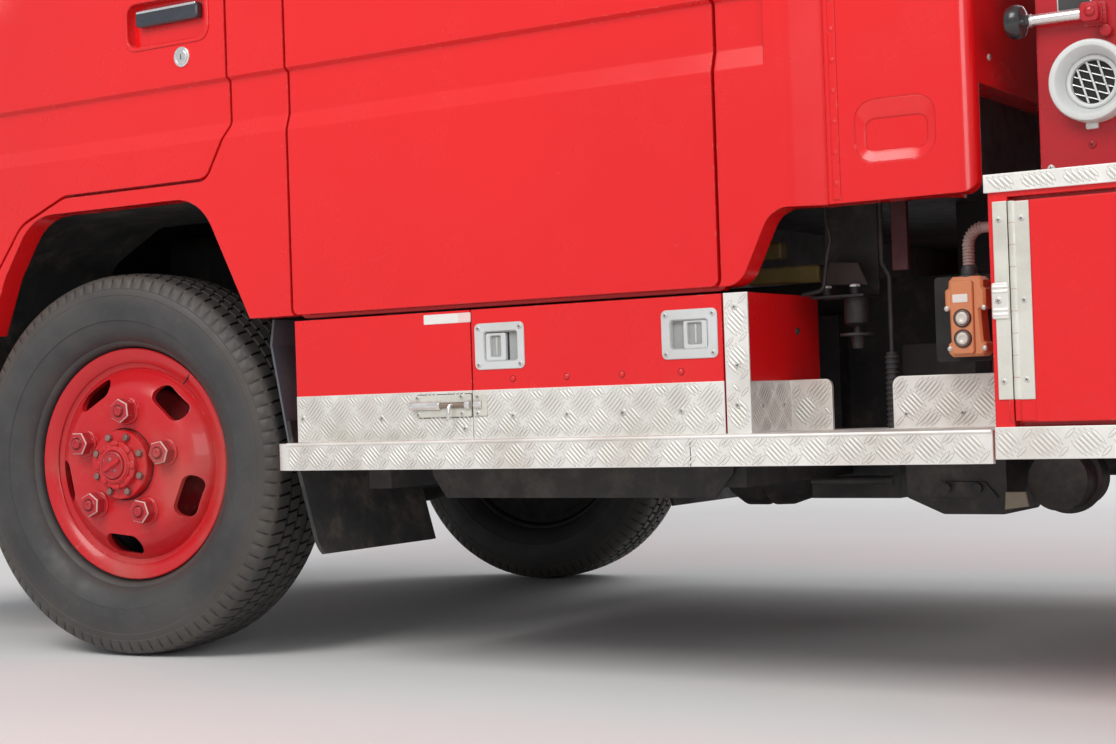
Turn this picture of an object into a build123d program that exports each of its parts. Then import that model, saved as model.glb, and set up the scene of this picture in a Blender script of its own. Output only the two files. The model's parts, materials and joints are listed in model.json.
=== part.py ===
"""Small double-cab fire pumper, in millimetres.

+X points forward, +Y to the vehicle's left, +Z up. The origin is on the ground,
below the middle of the overall length and width.
"""
from build123d import *
import math
import os

# Overall layout
half_width = 945
wheelbase = 2950
front_axle_x = 1740
rear_axle_x = front_axle_x - wheelbase
front_track = 1480
rear_track = 1435
twin_spacing = 235
gap = 6

# Wheels and tyres
tyre_radius = 372
tyre_half_width = 102.5
bead_radius = 208
rim_radius = 225
rim_half_width = 58
rim_wall = 8
hub_z = tyre_radius
nut_circle_radius = 104
nut_count = 5
nut_across_flats = 40
nut_height = 28
nut_turn = 12
slot_circle_radius = 160
slot_width = 26
slot_length = 48
disc_face = 80
disc_thickness = 9
hub_radius = 67
hub_face = 98
lock_hub_radius = 44
lock_hub_face = 125
gutter_radius = 186
drum_radius = 148
drum_length = 66
spindle_radius = 25
spindle_play = 0.5

# Steering
kingpin_offset = 100
kingpin_radius = 14
kingpin_play = 0.5
arm_length = 210
tie_rod_radius = 13
tie_rod_drop = 75
parked_steer = 5.6
kingpin_y = front_track / 2 - kingpin_offset
fork_half = 112
fork_plate = 24
fork_radius = 26
fork_web_y = kingpin_y - 80

# Chassis
rail_y = 350
rail_width = 60
rail_wall = 8
rail_face_y = rail_y + rail_width / 2
web_y = rail_face_y - rail_wall
rail_bottom = 520
rail_top = 660
rail_rear_x = rear_axle_x - 1490
cross_member = 70
axle_tube_radius = 45
diff_radius = 135
diff_y = -160
rear_hub_y = rear_track / 2
bracket_depth = 40
tow_hole_x = rail_rear_x - 95
tow_hole_radius = 16
spring_width = 70
spring_half_length = 560
spring_thickness = 34

# Underbody
exhaust_y = 190
exhaust_z = 331
exhaust_radius = 24
muffler_rear_x = 520
muffler_front_x = 724
side_tank_inner_y = rail_face_y + 20
side_tank_y = 560
chamber_x = -13
chamber_z = 316
filter_x = 238
filter_y = 700
filter_top_z = 614
hose_x = 178
hose_y = 710
stay_y = 736
liner_top_z = 870
liner_thickness = 4

# Cab shell
cab_half_width = 875
cab_rear_x = -15
cab_front_x = 2800
rail_front_x = cab_front_x - 180
bumper_front_x = cab_front_x + 40
rear_end_x = rear_axle_x - 1630
cab_roof_z = 2140
roof_joint_z = 2040
belt_joint_z = 1240
wall = 45
skin = 20
rebate = 25
glass_depth = 12
glass_thickness = 5
extension_x = 210
extension_half_width = 855
cab_rear_bottom_z = 747
cab_bottom_z = 634
cab_front_bottom_z = 480
footwell_z = 700
bench_deck_z = 800
bulkhead_x = 30
bulkhead_top_z = 960
rear_opening_z = 907
bench_deck_x = 640
seat_deck_z = 920
floor_thickness = 20
groove_low_z = 965
groove_high_z = 1076
groove_depth = 10
seam_step = 10
lamp_y = 610
lamp_z = 700
column_tilt = 38
wheel_centre = (2330, -400, 1290)

# Doors
front_door_x = 2400
front_door_rear_x = 1382
rear_door_x = 1238
rear_door_rear_x = 390
door_top_z = 2000
window_low_z = 1310
window_high_z = 1950
handle_rear_x = front_door_rear_x + 39
handle_front_x = front_door_rear_x + 246
handle_low_z = 1155
handle_high_z = 1242
door_lap = 15

# Running board and lockers
board_top_z = 408
board_bottom_z = 362
board_front_x = 1240
board_rear_x = -60
board_inner_y = 640
flap_locker_face_y = 870
flap_locker_inner_y = 612
flap_locker_top_z = 624
flap_locker_rear_x = 345
flap_rear_x = 385
flap_split_x = 860
flap_low_z = board_top_z + gap
sheet = 12
tread_sheet = 3
kick_plate_y = 730
kick_top_z = 488
hose_gap_front_x = 272
hose_gap_rear_x = 171
side_locker_face_y = 940
side_locker_inner_y = 500
side_locker_rear_x = rear_axle_x + 430
side_locker_bottom_z = 368
side_locker_top_z = 755
trim_height = 22
hinge_x = -97
hinge_radius = 4.5

# Pump bay and rear body
pump_panel_y = 800
pump_cabinet_front_x = -95
pump_cabinet_rear_x = rear_axle_x + 440
pump_cabinet_top_z = 1360
inlet_x = -176
inlet_z = 890
inlet_radius = 60
inlet_bore = 37.5
inlet_length = 30
inlet_wall = 2
outlet_radius = 32.5
outlet_length = 60
outlet_z = 900
lever_z = 985
pendant_y = 800
pendant_rear_x = -7
pendant_front_x = 55
pendant_top_z = 636
bed_front_x = rear_axle_x + 410
bed_rear_x = rear_axle_x - 1550
bed_half_width = 860
bed_floor_z = 800
bed_top_z = 1400
bed_wall = 40

# Roof gear
ladder_length = 3600
ladder_front_x = rear_axle_x + 2060
ladder_z = 2270
ladder_half_width = 200
ladder_y = -420
rack_y = bed_half_width - 20
light_bar_x = 2120


def block(x0, x1, y0, y1, z0, z1):
    """Box between two corners."""
    solid = Box(abs(x1 - x0), abs(y1 - y0), abs(z1 - z0))
    return Pos((x0 + x1) / 2, (y0 + y1) / 2, (z0 + z1) / 2) * solid


def outline(points, radius=0):
    """Closed outline with rounded corners. radius is one value or one for each point."""
    if radius == 0:
        return make_face(Polyline(*points, close=True))
    return make_face(FilletPolyline(*points, radius=radius, close=True))


def side_prism(face, y0, y1):
    """Outline in X and Z, carried from y0 to y1."""
    low = min(y0, y1)
    high = max(y0, y1)
    plane = Plane(origin=(0, high, 0), x_dir=(1, 0, 0), z_dir=(0, -1, 0))
    return extrude(plane * face, amount=high - low)


def plan_prism(face, z0, z1):
    """Outline in X and Y, carried from z0 to z1."""
    return extrude(Plane.XY.offset(z0) * face, amount=z1 - z0)


def end_prism(face, x0, x1):
    """Outline in Y and Z, carried from x0 to x1."""
    return extrude(Plane.YZ.offset(x0) * face, amount=x1 - x0)


def rod_x(x0, x1, y, z, radius):
    """Round bar along X."""
    return Pos((x0 + x1) / 2, y, z) * Rot(0, 90, 0) * Cylinder(radius, abs(x1 - x0))


def rod_y(x, y0, y1, z, radius):
    """Round bar along Y."""
    return Pos(x, (y0 + y1) / 2, z) * Rot(90, 0, 0) * Cylinder(radius, abs(y1 - y0))


def rod_z(x, y, z0, z1, radius):
    """Round bar along Z."""
    return Pos(x, y, (z0 + z1) / 2) * Cylinder(radius, abs(z1 - z0))


def bent_bar(points, bend, radius):
    """Round bar along a path with rounded bends."""
    path = FilletPolyline(*points, radius=bend)
    return sweep((path ^ 0) * Circle(radius), path=path)


def mirrored(solid):
    """The same piece on the vehicle's right side."""
    return mirror(solid, about=Plane.XZ)


def both_sides(solid):
    """A left piece and its right twin."""
    return [solid, mirrored(solid)]


def joined(pieces):
    """One solid from pieces that touch."""
    whole = pieces[0]
    for piece in pieces[1:]:
        whole = whole + piece
    return whole


nodes = {}


def keep(name, *pieces):
    """Store the solids of one node."""
    solids = []
    for piece in pieces:
        group = piece if isinstance(piece, (list, tuple)) else [piece]
        for item in group:
            solids.extend(item.solids())
    nodes[name] = solids


# Cab volume: section, side profile and plan, each drawn a given inset inside the skin


def cab_volume(inset):
    """Cab body, from three outlines that cross; inside the skin it is open at the bottom."""
    half = cab_half_width - inset
    side = extension_half_width - inset
    front = cab_front_x - inset
    roof = cab_roof_z - inset
    rear = cab_rear_x + inset
    low = 200
    section = outline(
        [(-half, low - 100), (half, low - 100), (half, 1300), (half - 85, roof - 50), (half - 230, roof),
         (230 - half, roof), (85 - half, roof - 50), (-half, 1300)],
        [1, 1, 300, 70, 200, 200, 70, 300],
    )
    upper = [(front - 290, 1960), (front - 440, roof - 15), (600, roof), (rear, roof - 40)]
    if inset == 0:
        lower = [(rear, cab_rear_bottom_z), (297, cab_rear_bottom_z), (352, cab_bottom_z),
                 (2092, cab_bottom_z), (2102, cab_front_bottom_z), (2650, cab_front_bottom_z),
                 (2750, 520), (front, 640), (front + 8, 1000), (front, 1240)]
        radii = [20, 45, 40, 4, 20, 100, 60, 100, 300, 120]
    else:
        lower = [(rear, low), (front - 60, low), (front, 640), (front + 8, 1000), (front, 1240)]
        radii = [1, 1, 60, 300, 120]
    side_face = outline(lower + upper, radii + [60, 120, 900, 40])
    corner = 25 + inset / 2
    plan = [(rear, side), (extension_x, side), (extension_x + 5, side - seam_step), (268, half), (2480, half),
            (2700 - inset, 805 - inset), (front, 480), (front + 20, 0)]
    plan_right = [(x, -y) for x, y in reversed(plan[:-1])]
    bends = [corner, 2, 2, 45, 300, 140, 250]
    plan_face = outline(plan + plan_right, bends + [900] + bends[::-1])
    return (
        end_prism(section, cab_rear_x - 50, cab_front_x + 60)
        & side_prism(side_face, -cab_half_width - 20, cab_half_width + 20)
        & plan_prism(plan_face, 150, cab_roof_z + 50)
    )


outer_volume = cab_volume(0)
skin_volume = cab_volume(skin)
rebate_volume = cab_volume(rebate)
room_volume = cab_volume(wall)
glass_outer = cab_volume(glass_depth)
glass_inner = cab_volume(glass_depth + glass_thickness)

groove_section = outline(
    [(cab_half_width + 20, groove_low_z), (cab_half_width, groove_low_z),
     (cab_half_width - groove_depth, groove_low_z + 30),
     (cab_half_width - groove_depth, groove_high_z - 6), (cab_half_width, groove_high_z),
     (cab_half_width + 20, groove_high_z)],
)
groove = end_prism(groove_section, 300, 2440)
outer_volume = outer_volume - groove - mirrored(groove)
shell = outer_volume - room_volume
outer_layer = outer_volume - skin_volume
inner_layer = rebate_volume - room_volume

# Door outlines, seen from the side
front_door_face = outline(
    [(front_door_rear_x, 990), (1439, 897), (1809, 897), (1933, 850), (2040, 720), (2110, 500),
     (front_door_x - 40, 500), (front_door_x, 560), (front_door_x, 1260), (2115, door_top_z),
     (front_door_rear_x, door_top_z)],
    [20, 30, 60, 80, 150, 20, 20, 20, 60, 60, 50],
)
rear_door_face = outline(
    [(rear_door_rear_x, cab_bottom_z + 1), (rear_door_x, cab_bottom_z + 1),
     (rear_door_x, door_top_z), (rear_door_rear_x, door_top_z)],
    [12, 12, 50, 50],
)
front_window_face = outline(
    [(1438, window_low_z), (2335, window_low_z), (2080, window_high_z), (1438, window_high_z)],
    [40, 60, 60, 40],
)
rear_window_face = outline(
    [(rear_door_rear_x + 55, window_low_z), (rear_door_x - 55, window_low_z),
     (rear_door_x - 55, window_high_z), (rear_door_rear_x + 55, window_high_z)],
    [40, 40, 40, 40],
)
pocket_face = outline(
    [(handle_rear_x, handle_low_z), (handle_front_x, handle_low_z), (handle_front_x, handle_high_z),
     (handle_rear_x, handle_high_z)],
    24,
)


def door_prism(face, grow):
    """A door's outline, grown or shrunk, carried through the left side of the cab."""
    shape = face if grow == 0 else offset(face, amount=grow, kind=Kind.INTERSECTION)
    return side_prism(shape, 650, cab_half_width + 40)


def door_leaf(face, window):
    """Outer panel with its inner frame, and the window cut through both."""
    panel = outer_layer & door_prism(face, 0)
    frame = shell & door_prism(face, -door_lap - gap)
    return panel + frame - door_prism(window, 0)


def door_pane(window):
    """Glass set in the door's window."""
    return (glass_outer - glass_inner) & door_prism(window, 0)


arch_face = outline(
    [(1180, 100), (1304, 560), (1455, 863), (1900, 863), (1982, 748), (2066, 560), (2090, 100)],
    [1, 200, 100, 110, 90, 200, 1],
)
arch = side_prism(arch_face, 600, cab_half_width + 40)

side_region = block(extension_x, front_door_x + 20, 0, 1000, 0, roof_joint_z)
pillar_region = block(front_door_x + 20, 3000, 0, 1000, belt_joint_z, roof_joint_z)
screen_face = outline(
    [(-735, belt_joint_z - 12), (735, belt_joint_z - 12), (690, roof_joint_z + 12),
     (-690, roof_joint_z + 12)],
    50,
)
screen_opening = end_prism(screen_face, 2250, 3000)
rear_light_face = outline([(-420, 1400), (420, 1400), (420, 1800), (-420, 1800)], 50)
rear_light_opening = end_prism(rear_light_face, cab_rear_x - 50, cab_rear_x + 90)

side_frame = (shell & side_region) + (shell & pillar_region) - screen_opening
rim_ring = inner_layer & side_region
for door_face in (front_door_face, rear_door_face):
    side_frame = side_frame - door_prism(door_face, gap)
    ring = rim_ring & (door_prism(door_face, gap) - door_prism(door_face, -door_lap))
    side_frame = side_frame + ring
side_frame = side_frame - arch
keep("cab_sides", both_sides(side_frame))

front_door = door_leaf(front_door_face, front_window_face) - arch
pocket = side_prism(pocket_face, cab_half_width - 15, cab_half_width + 20)
front_door = front_door - pocket
rear_door = door_leaf(rear_door_face, rear_window_face)
front_pane = door_pane(front_window_face)
rear_pane = door_pane(rear_window_face)

# Name of the side, and whether the piece is mirrored
SIDES = [("left", False), ("right", True)]
for side_name, flipped in SIDES:
    for door_name, leaf, pane in (("front", front_door, front_pane), ("rear", rear_door, rear_pane)):
        keep(f"door_{door_name}_{side_name}", mirrored(leaf) if flipped else leaf)
        keep(f"glass_{door_name}_{side_name}", mirrored(pane) if flipped else pane)

# Front panel with its grille opening, roof and rear extension
front_region = block(front_door_x + 20, 3000, -1000, 1000, 0, belt_joint_z)
grille_face = outline([(-430, 620), (430, 620), (430, 780), (-430, 780)], 30)
grille_opening = end_prism(grille_face, 2600, 3000)
front_panel = (shell & front_region) - screen_opening - grille_opening
slats = []
for slat_z in (645, 680, 715, 750):
    slat = block(2600, 3000, -440, 440, slat_z, slat_z + 12)
    slats.append(slat & shell & front_region)
for bar_y in (-150, 150):
    bar = block(2600, 3000, bar_y - 6, bar_y + 6, 610, 790)
    slats.append(bar & shell & front_region)
front_panel = joined([front_panel] + slats)
lamp_face = outline(
    [(lamp_y - 120, lamp_z - 85), (lamp_y + 110, lamp_z - 85), (lamp_y + 110, lamp_z + 75),
     (lamp_y - 120, lamp_z + 75)],
    25,
)
lamp_opening = end_prism(lamp_face, 2450, 3000)
headlamp = lamp_opening & (outer_volume - room_volume)
front_panel = front_panel - lamp_opening - mirrored(lamp_opening)
keep("cab_front", front_panel)

roof_region = block(-100, 3000, -1000, 1000, roof_joint_z, 2300)
keep("cab_roof", (shell & roof_region) - screen_opening)

extension = shell & block(-100, extension_x, -1000, 1000, 0, roof_joint_z)
recess_face = outline([(40, 803), (165, 803), (165, 895), (40, 895)], 30)
recess = side_prism(recess_face, extension_half_width - 8, extension_half_width + 30)
rear_opening = block(-50, bulkhead_x, -820, 820, 600, rear_opening_z)
extension = extension - recess - mirrored(recess) - rear_light_opening - rear_opening
keep("cab_extension", extension)

windscreen = (glass_outer - glass_inner) & screen_opening
rear_light = (glass_outer - glass_inner) & rear_light_opening
keep("glazing", windscreen, rear_light)

# Floor: footwell, deck over the front wheels and engine, rear footwell
floor_path = [
    (2785, footwell_z - floor_thickness), (2785, footwell_z), (2190, footwell_z), (2190, seat_deck_z),
    (1330, seat_deck_z), (1330, footwell_z), (bench_deck_x, footwell_z), (bench_deck_x, bench_deck_z),
    (bulkhead_x + floor_thickness, bench_deck_z), (bulkhead_x + floor_thickness, bulkhead_top_z),
    (bulkhead_x, bulkhead_top_z), (bulkhead_x, bench_deck_z - floor_thickness),
    (bench_deck_x - floor_thickness, bench_deck_z - floor_thickness),
    (bench_deck_x - floor_thickness, footwell_z - floor_thickness),
    (1350, footwell_z - floor_thickness), (1350, seat_deck_z - floor_thickness),
    (2170, seat_deck_z - floor_thickness), (2170, footwell_z - floor_thickness),
]
cab_floor = side_prism(outline(floor_path), -cab_half_width, cab_half_width) & room_volume
keep("cab_floor", cab_floor)

# Seats: bench in the rear, two seats on the deck
seat_pads = []
for seat_y, seat_half in ((430, 270), (-430, 270)):
    cushion = block(1480, 1960, seat_y - seat_half, seat_y + seat_half, seat_deck_z, seat_deck_z + 150)
    seat_pads.append(fillet(cushion.edges().filter_by(Axis.Y), 40))
    back = block(1385, 1475, seat_y - seat_half, seat_y + seat_half, seat_deck_z, seat_deck_z + 780)
    seat_pads.append(fillet(back.edges().filter_by(Axis.X), 40))
bench = block(150, 620, -760, 760, bench_deck_z, footwell_z + 400)
seat_pads.append(fillet(bench.edges().filter_by(Axis.Y), 40))
bench_back = block(50, 140, -760, 760, bench_deck_z, footwell_z + 950)
seat_pads.append(fillet(bench_back.edges().filter_by(Axis.X), 40))
keep("seats", seat_pads)

# Dashboard and steering column
dash_face = outline(
    [(2560, 1000), (2745, 1000), (2745, 1260), (2640, 1270), (2540, 1210), (2510, 1090)],
    [20, 5, 5, 30, 30, 30],
)
dashboard = side_prism(dash_face, -800, 800) & cab_volume(wall + 2)
column_direction = (math.cos(math.radians(90 - column_tilt)), 0, -math.sin(math.radians(90 - column_tilt)))
column_plane = Plane(
    origin=(wheel_centre[0] + 70 * column_direction[0], wheel_centre[1],
            wheel_centre[2] + 70 * column_direction[2]),
    z_dir=column_direction,
)
column = extrude(column_plane * Circle(32), amount=300)
keep("dashboard", dashboard + column)
wheel_plane = Plane(origin=wheel_centre, z_dir=column_direction)
steering_ring = wheel_plane * Torus(205, 15)
steering_boss = wheel_plane * Pos(0, 0, 26) * Cylinder(42, 76)
spokes = []
for spoke_turn in (0, 120, 240):
    spoke = Pos(118, 0, 6) * Box(190, 26, 12)
    spokes.append(wheel_plane * (Rot(0, 0, spoke_turn) * spoke))
keep("steering_wheel", joined([steering_ring, steering_boss] + spokes))

# Chassis frame
rails = []
for rail_side in (1, -1):
    outer = block(rail_rear_x, rail_front_x, rail_side * (rail_face_y - rail_width), rail_side * rail_face_y,
                  rail_bottom, rail_top)
    hollow = block(rail_rear_x - 1, rail_front_x + 1, rail_side * (rail_face_y - rail_width - 1),
                   rail_side * web_y, rail_bottom + rail_wall, rail_top - rail_wall)
    rails.append(outer - hollow)
members = []
for member_x in (rail_front_x - 60, 1180, 640, -40, rear_axle_x + 390, rear_axle_x - 490, rear_axle_x - 1430):
    members.append(block(member_x - cross_member / 2, member_x + cross_member / 2, -web_y, web_y,
                         rail_bottom + rail_wall, rail_top - rail_wall))
# Posts between the rails and what they carry: x, half length along x, top height
MOUNTS = [(2450, 30, footwell_z - floor_thickness), (1180, 30, footwell_z - floor_thickness),
          (160, 30, bench_deck_z - floor_thickness), (rear_axle_x + 310, 40, bed_floor_z),
          (rear_axle_x - 290, 40, bed_floor_z), (rear_axle_x - 840, 40, bed_floor_z),
          (rear_axle_x - 1390, 40, bed_floor_z)]
for mount_x, mount_half, mount_top in MOUNTS:
    for mount_side in (1, -1):
        members.append(block(mount_x - mount_half, mount_x + mount_half, mount_side * rail_y - 28,
                             mount_side * rail_y + 28, rail_top, mount_top))
# Brackets that carry the running boards: x position
for bracket_x in (1120, 640, 420):
    leg = block(bracket_x - 25, bracket_x + 25, rail_face_y, rail_face_y + 40, board_bottom_z - bracket_depth,
                600)
    foot = block(bracket_x - 25, bracket_x + 25, rail_face_y + 40, 792, board_bottom_z - bracket_depth,
                 board_bottom_z)
    members.extend(both_sides(leg) + both_sides(foot))
for bracket_x in (-140, rear_axle_x + 530):
    arm = block(bracket_x - 25, bracket_x + 25, rail_face_y, side_locker_inner_y,
                rail_bottom + 10, rail_bottom + 70)
    members.extend(both_sides(arm))
bumper_horn = block(rail_front_x - 60, cab_front_x - 55, rail_y - 30, rail_y + 30, 400, 474)
horn_root = block(rail_front_x - 60, rail_front_x, rail_y - 30, rail_y + 30, 474, rail_bottom)
members.extend(both_sides(bumper_horn) + both_sides(horn_root))
# Spring hangers: axle position
for hanger_axle in (front_axle_x, rear_axle_x):
    for end in (1, -1):
        hanger_x = hanger_axle + end * spring_half_length
        hanger = block(hanger_x - 22, hanger_x + 22, rail_y - 26, rail_y + 26, 505, rail_bottom)
        members.extend(both_sides(hanger))
step_arm = block(rail_rear_x - 60, rail_rear_x + 200, rail_y - 28, rail_y + 28, 470, rail_bottom)
members.extend(both_sides(step_arm))
tow_ear = block(rail_rear_x - 124, rail_rear_x - 60, -40, 40, 478, 502)
tow_bar = block(rail_rear_x - 60, rail_rear_x - 20, 28 - rail_y, rail_y - 28, 478, 530)
tow_eye = tow_ear - rod_z(tow_hole_x, 0, 470, 510, tow_hole_radius)
members.extend([tow_bar, tow_eye])


def leaf_spring(axle_x, seat_z, y):
    """Leaf pack, arched down to the axle, with an eye at each end."""
    top = 492
    lower = ThreePointArc((axle_x - spring_half_length, top), (axle_x, seat_z),
                          (axle_x + spring_half_length, top))
    upper = ThreePointArc((axle_x + spring_half_length, top + 12), (axle_x, seat_z + spring_thickness),
                          (axle_x - spring_half_length, top + 12))
    ends = [Line(lower @ 1, upper @ 0), Line(upper @ 1, lower @ 0)]
    leaf = side_prism(make_face([lower, ends[0], upper, ends[1]]), y - spring_width / 2, y + spring_width / 2)
    for end in (1, -1):
        leaf = leaf + rod_y(axle_x + end * spring_half_length, y - spring_width / 2,
                            y + spring_width / 2, top, 13)
    return leaf


def axle_beam(axle_x, half, radius, flange):
    """Axle tube with its differential, seen between the wheels."""
    tube = rod_y(axle_x, -half, half, hub_z, radius)
    casing = Pos(axle_x, diff_y, hub_z) * Sphere(diff_radius)
    casing = casing & block(axle_x - 150, axle_x + 110, diff_y - 110, diff_y + 110, 200, 520)
    nose = rod_x(axle_x + flange * 90, axle_x + flange * 210, diff_y, hub_z, 52)
    return joined([tube, casing, nose])


# Front axle: beam, springs and the fork that holds each kingpin
front_beam = axle_beam(front_axle_x, fork_web_y, axle_tube_radius, -1)
forks = []
for fork_side in (1, -1):
    side_web_y = fork_side * fork_web_y
    forks.append(block(front_axle_x - 40, front_axle_x + 40, side_web_y - 15, side_web_y + 15,
                       hub_z - fork_half, hub_z + fork_half))
    for level in (1, -1):
        lug_z0 = hub_z + level * fork_half
        lug_z1 = hub_z + level * (fork_half - fork_plate)
        lug = block(front_axle_x - fork_radius, front_axle_x + fork_radius, side_web_y,
                    fork_side * kingpin_y, lug_z0, lug_z1)
        lug = lug + rod_z(front_axle_x, fork_side * kingpin_y, lug_z0, lug_z1, fork_radius)
        forks.append(lug)
for spring_side in (1, -1):
    forks.append(leaf_spring(front_axle_x, hub_z + axle_tube_radius - 3, spring_side * rail_y))
front_axle = joined([front_beam] + forks)
for pin_side in (1, -1):
    pin_hole = rod_z(front_axle_x, pin_side * kingpin_y, 200, 550, kingpin_radius + kingpin_play)
    front_axle = front_axle - pin_hole
keep("front_axle", front_axle)

# Rear axle: beam, springs, spindles for the twin wheels, and the shaft from the gearbox
rear_beam = axle_beam(rear_axle_x, rear_hub_y - 150, 52, 1)
rear_spindle = rod_y(rear_axle_x, -rear_hub_y - 20, rear_hub_y + 20, hub_z, spindle_radius)
rear_pieces = [rear_beam, rear_spindle]
for spring_side in (1, -1):
    rear_pieces.append(leaf_spring(rear_axle_x, hub_z + 49, spring_side * rail_y))
shaft_start = Vector(rear_axle_x + 200, diff_y, hub_z)
shaft_end = Vector(1232, 0, 470)
shaft_plane = Plane(origin=shaft_start, z_dir=shaft_end - shaft_start)
rear_pieces.append(extrude(shaft_plane * Circle(38), amount=(shaft_end - shaft_start).length))
keep("rear_axle", joined(rear_pieces))

# Knuckles, tie rod and front wheels, made straight ahead and then turned to the parked angle


def parked(solid, side):
    """Turn a front-wheel piece about its kingpin to the parked angle."""
    pin = Pos(front_axle_x, side * kingpin_y, 0)
    return pin * Rot(0, 0, parked_steer) * pin.inverse() * solid


def knuckle(side):
    """Kingpin, spindle, backing plate and steering arm of one front wheel."""
    pin = rod_z(front_axle_x, side * kingpin_y, hub_z - fork_half, hub_z + fork_half, kingpin_radius)
    body = rod_z(front_axle_x, side * kingpin_y, hub_z - 80, hub_z + 80, 34)
    spindle = rod_y(front_axle_x, side * kingpin_y, side * (kingpin_y + 150), hub_z, spindle_radius)
    plate_y = side * (kingpin_y + 33)
    plate = rod_y(front_axle_x, plate_y, plate_y + side * 5, hub_z, drum_radius - 4)
    arm_y = side * kingpin_y
    arm = block(front_axle_x - arm_length, front_axle_x, arm_y - 14, arm_y + 14,
                hub_z - tie_rod_drop + 18, hub_z - tie_rod_drop + 38)
    arm = arm + rod_z(front_axle_x - arm_length, arm_y, hub_z - tie_rod_drop - 16,
                      hub_z - tie_rod_drop + 38, 9)
    arm = arm + rod_z(front_axle_x - arm_length, arm_y, hub_z - tie_rod_drop + 18,
                      hub_z - tie_rod_drop + 38, 18)
    boss = block(front_axle_x - 30, front_axle_x + 30, min(side * (kingpin_y - 5), plate_y),
                 max(side * (kingpin_y - 5), plate_y), hub_z - 60, hub_z + 60)
    return joined([pin, body, spindle, plate, arm, boss])


def turned(profile):
    """Wheel form from its half section: distance outward from the wheel's centre, and radius."""
    return revolve(Plane.YZ * outline(profile), Axis.Y, 360)


RIM_SECTION = [
    (-rim_half_width, rim_radius), (-rim_half_width + 6, rim_radius), (-50, bead_radius),
    (-22, bead_radius - 8), (22, bead_radius - 8), (50, bead_radius), (rim_half_width - 6, rim_radius),
    (rim_half_width, rim_radius),
    (rim_half_width, rim_radius - 8), (50, bead_radius - 9), (40, gutter_radius), (30, gutter_radius),
    (24, bead_radius - 16),
    (-24, bead_radius - 16), (-54, bead_radius - rim_wall), (-rim_half_width, rim_radius - 10),
]


def tyre():
    """Tyre as a closed ring with rounded shoulders, seated on the rim."""
    half = tyre_half_width
    section = outline(
        [(-49.5, bead_radius + 0.4), (49.5, bead_radius + 0.4), (51.5, rim_radius + 0.4),
         (rim_half_width + 4, rim_radius + 2), (half - 10, rim_radius + 30), (half, 300),
         (half - 8, tyre_radius - 22), (half - 30, tyre_radius - 2), (0, tyre_radius),
         (30 - half, tyre_radius - 2), (8 - half, tyre_radius - 22), (-half, 300),
         (10 - half, rim_radius + 30), (-rim_half_width - 4, rim_radius + 2), (-51.5, rim_radius + 0.4)],
        [1, 1, 1, 3, 20, 40, 12, 12, 60, 12, 12, 40, 20, 3, 1],
    )
    return revolve(Plane.YZ * section, Axis.Y, 360)


def wheel_nuts(face, outward):
    """Ring of hexagon nuts standing on the disc's face."""
    nuts = []
    for index in range(nut_count):
        angle = math.radians(nut_turn + 360 / nut_count * index)
        nut_place = (-nut_circle_radius * math.cos(angle), face, nut_circle_radius * math.sin(angle))
        plane = Plane(origin=nut_place, z_dir=(0, outward, 0))
        hexagon = RegularPolygon(nut_across_flats / 2, 6, major_radius=False)
        nuts.append(extrude(plane * hexagon, amount=nut_height))
    return nuts


def hand_holes(y0, y1):
    """Oval openings between the nuts."""
    cutters = []
    for index in range(nut_count):
        angle = nut_turn + 36 + 360 / nut_count * index
        slot = Rot(0, 0, 90) * SlotOverall(slot_length, slot_width)
        face = Rot(0, 0, angle) * (Pos(slot_circle_radius, 0, 0) * slot)
        cutters.append(side_prism(mirror(face, about=Plane.YZ), y0, y1))
    return cutters


def front_rim():
    """Front wheel: rim, convex disc, hub, nuts and locking hub. Outward is +Y."""
    disc = turned([(28, gutter_radius + 2), (38, gutter_radius + 2), (56, 172), (68, 160), (77, 146),
                   (disc_face, 132), (disc_face, 50), (disc_face - disc_thickness, 50),
                   (disc_face - disc_thickness, 130), (68, 141), (60, 153), (48, 165)])
    hub = rod_y(0, -58, hub_face - 6, 0, hub_radius - 4)
    hub = hub + rod_y(0, disc_face - 4, hub_face, 0, hub_radius)
    cap = rod_y(0, hub_face, lock_hub_face, 0, lock_hub_radius)
    drum = rod_y(0, -58, -58 + drum_length, 0, drum_radius)
    whole = joined([turned(RIM_SECTION), disc, drum, hub, cap])
    for cutter in hand_holes(42, disc_face + 10):
        whole = whole - cutter
    whole = whole - rod_y(0, -80, 58, 0, spindle_radius + spindle_play)
    return joined([whole] + wheel_nuts(disc_face - 1, 1))


for side_name, flipped in SIDES:
    side = -1 if flipped else 1
    flip = mirrored if flipped else (lambda solid: solid)
    place = Pos(front_axle_x, side * front_track / 2, hub_z)
    keep(f"knuckle_{side_name}", parked(knuckle(side), side))
    keep(f"rim_front_{side_name}", parked(place * flip(front_rim()), side))
    keep(f"tyre_front_{side_name}", parked(place * tyre(), side))

swing = math.radians(parked_steer)
tie_x = front_axle_x - arm_length * math.cos(swing)
tie_shift_y = -arm_length * math.sin(swing)
tie_z = hub_z - tie_rod_drop
tie_rod = rod_y(tie_x, tie_shift_y - kingpin_y, tie_shift_y + kingpin_y, tie_z, tie_rod_radius)
for eye_y in (tie_shift_y + kingpin_y, tie_shift_y - kingpin_y):
    tie_rod = tie_rod + rod_z(tie_x, eye_y, tie_z - 14, tie_z + 14, 19)
for eye_y in (tie_shift_y + kingpin_y, tie_shift_y - kingpin_y):
    tie_rod = tie_rod - rod_z(tie_x, eye_y, tie_z - 30, tie_z + 30, 9.6)
keep("tie_rod", tie_rod)

# Twin rear wheels: two dished rims back to back on one hub


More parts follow.
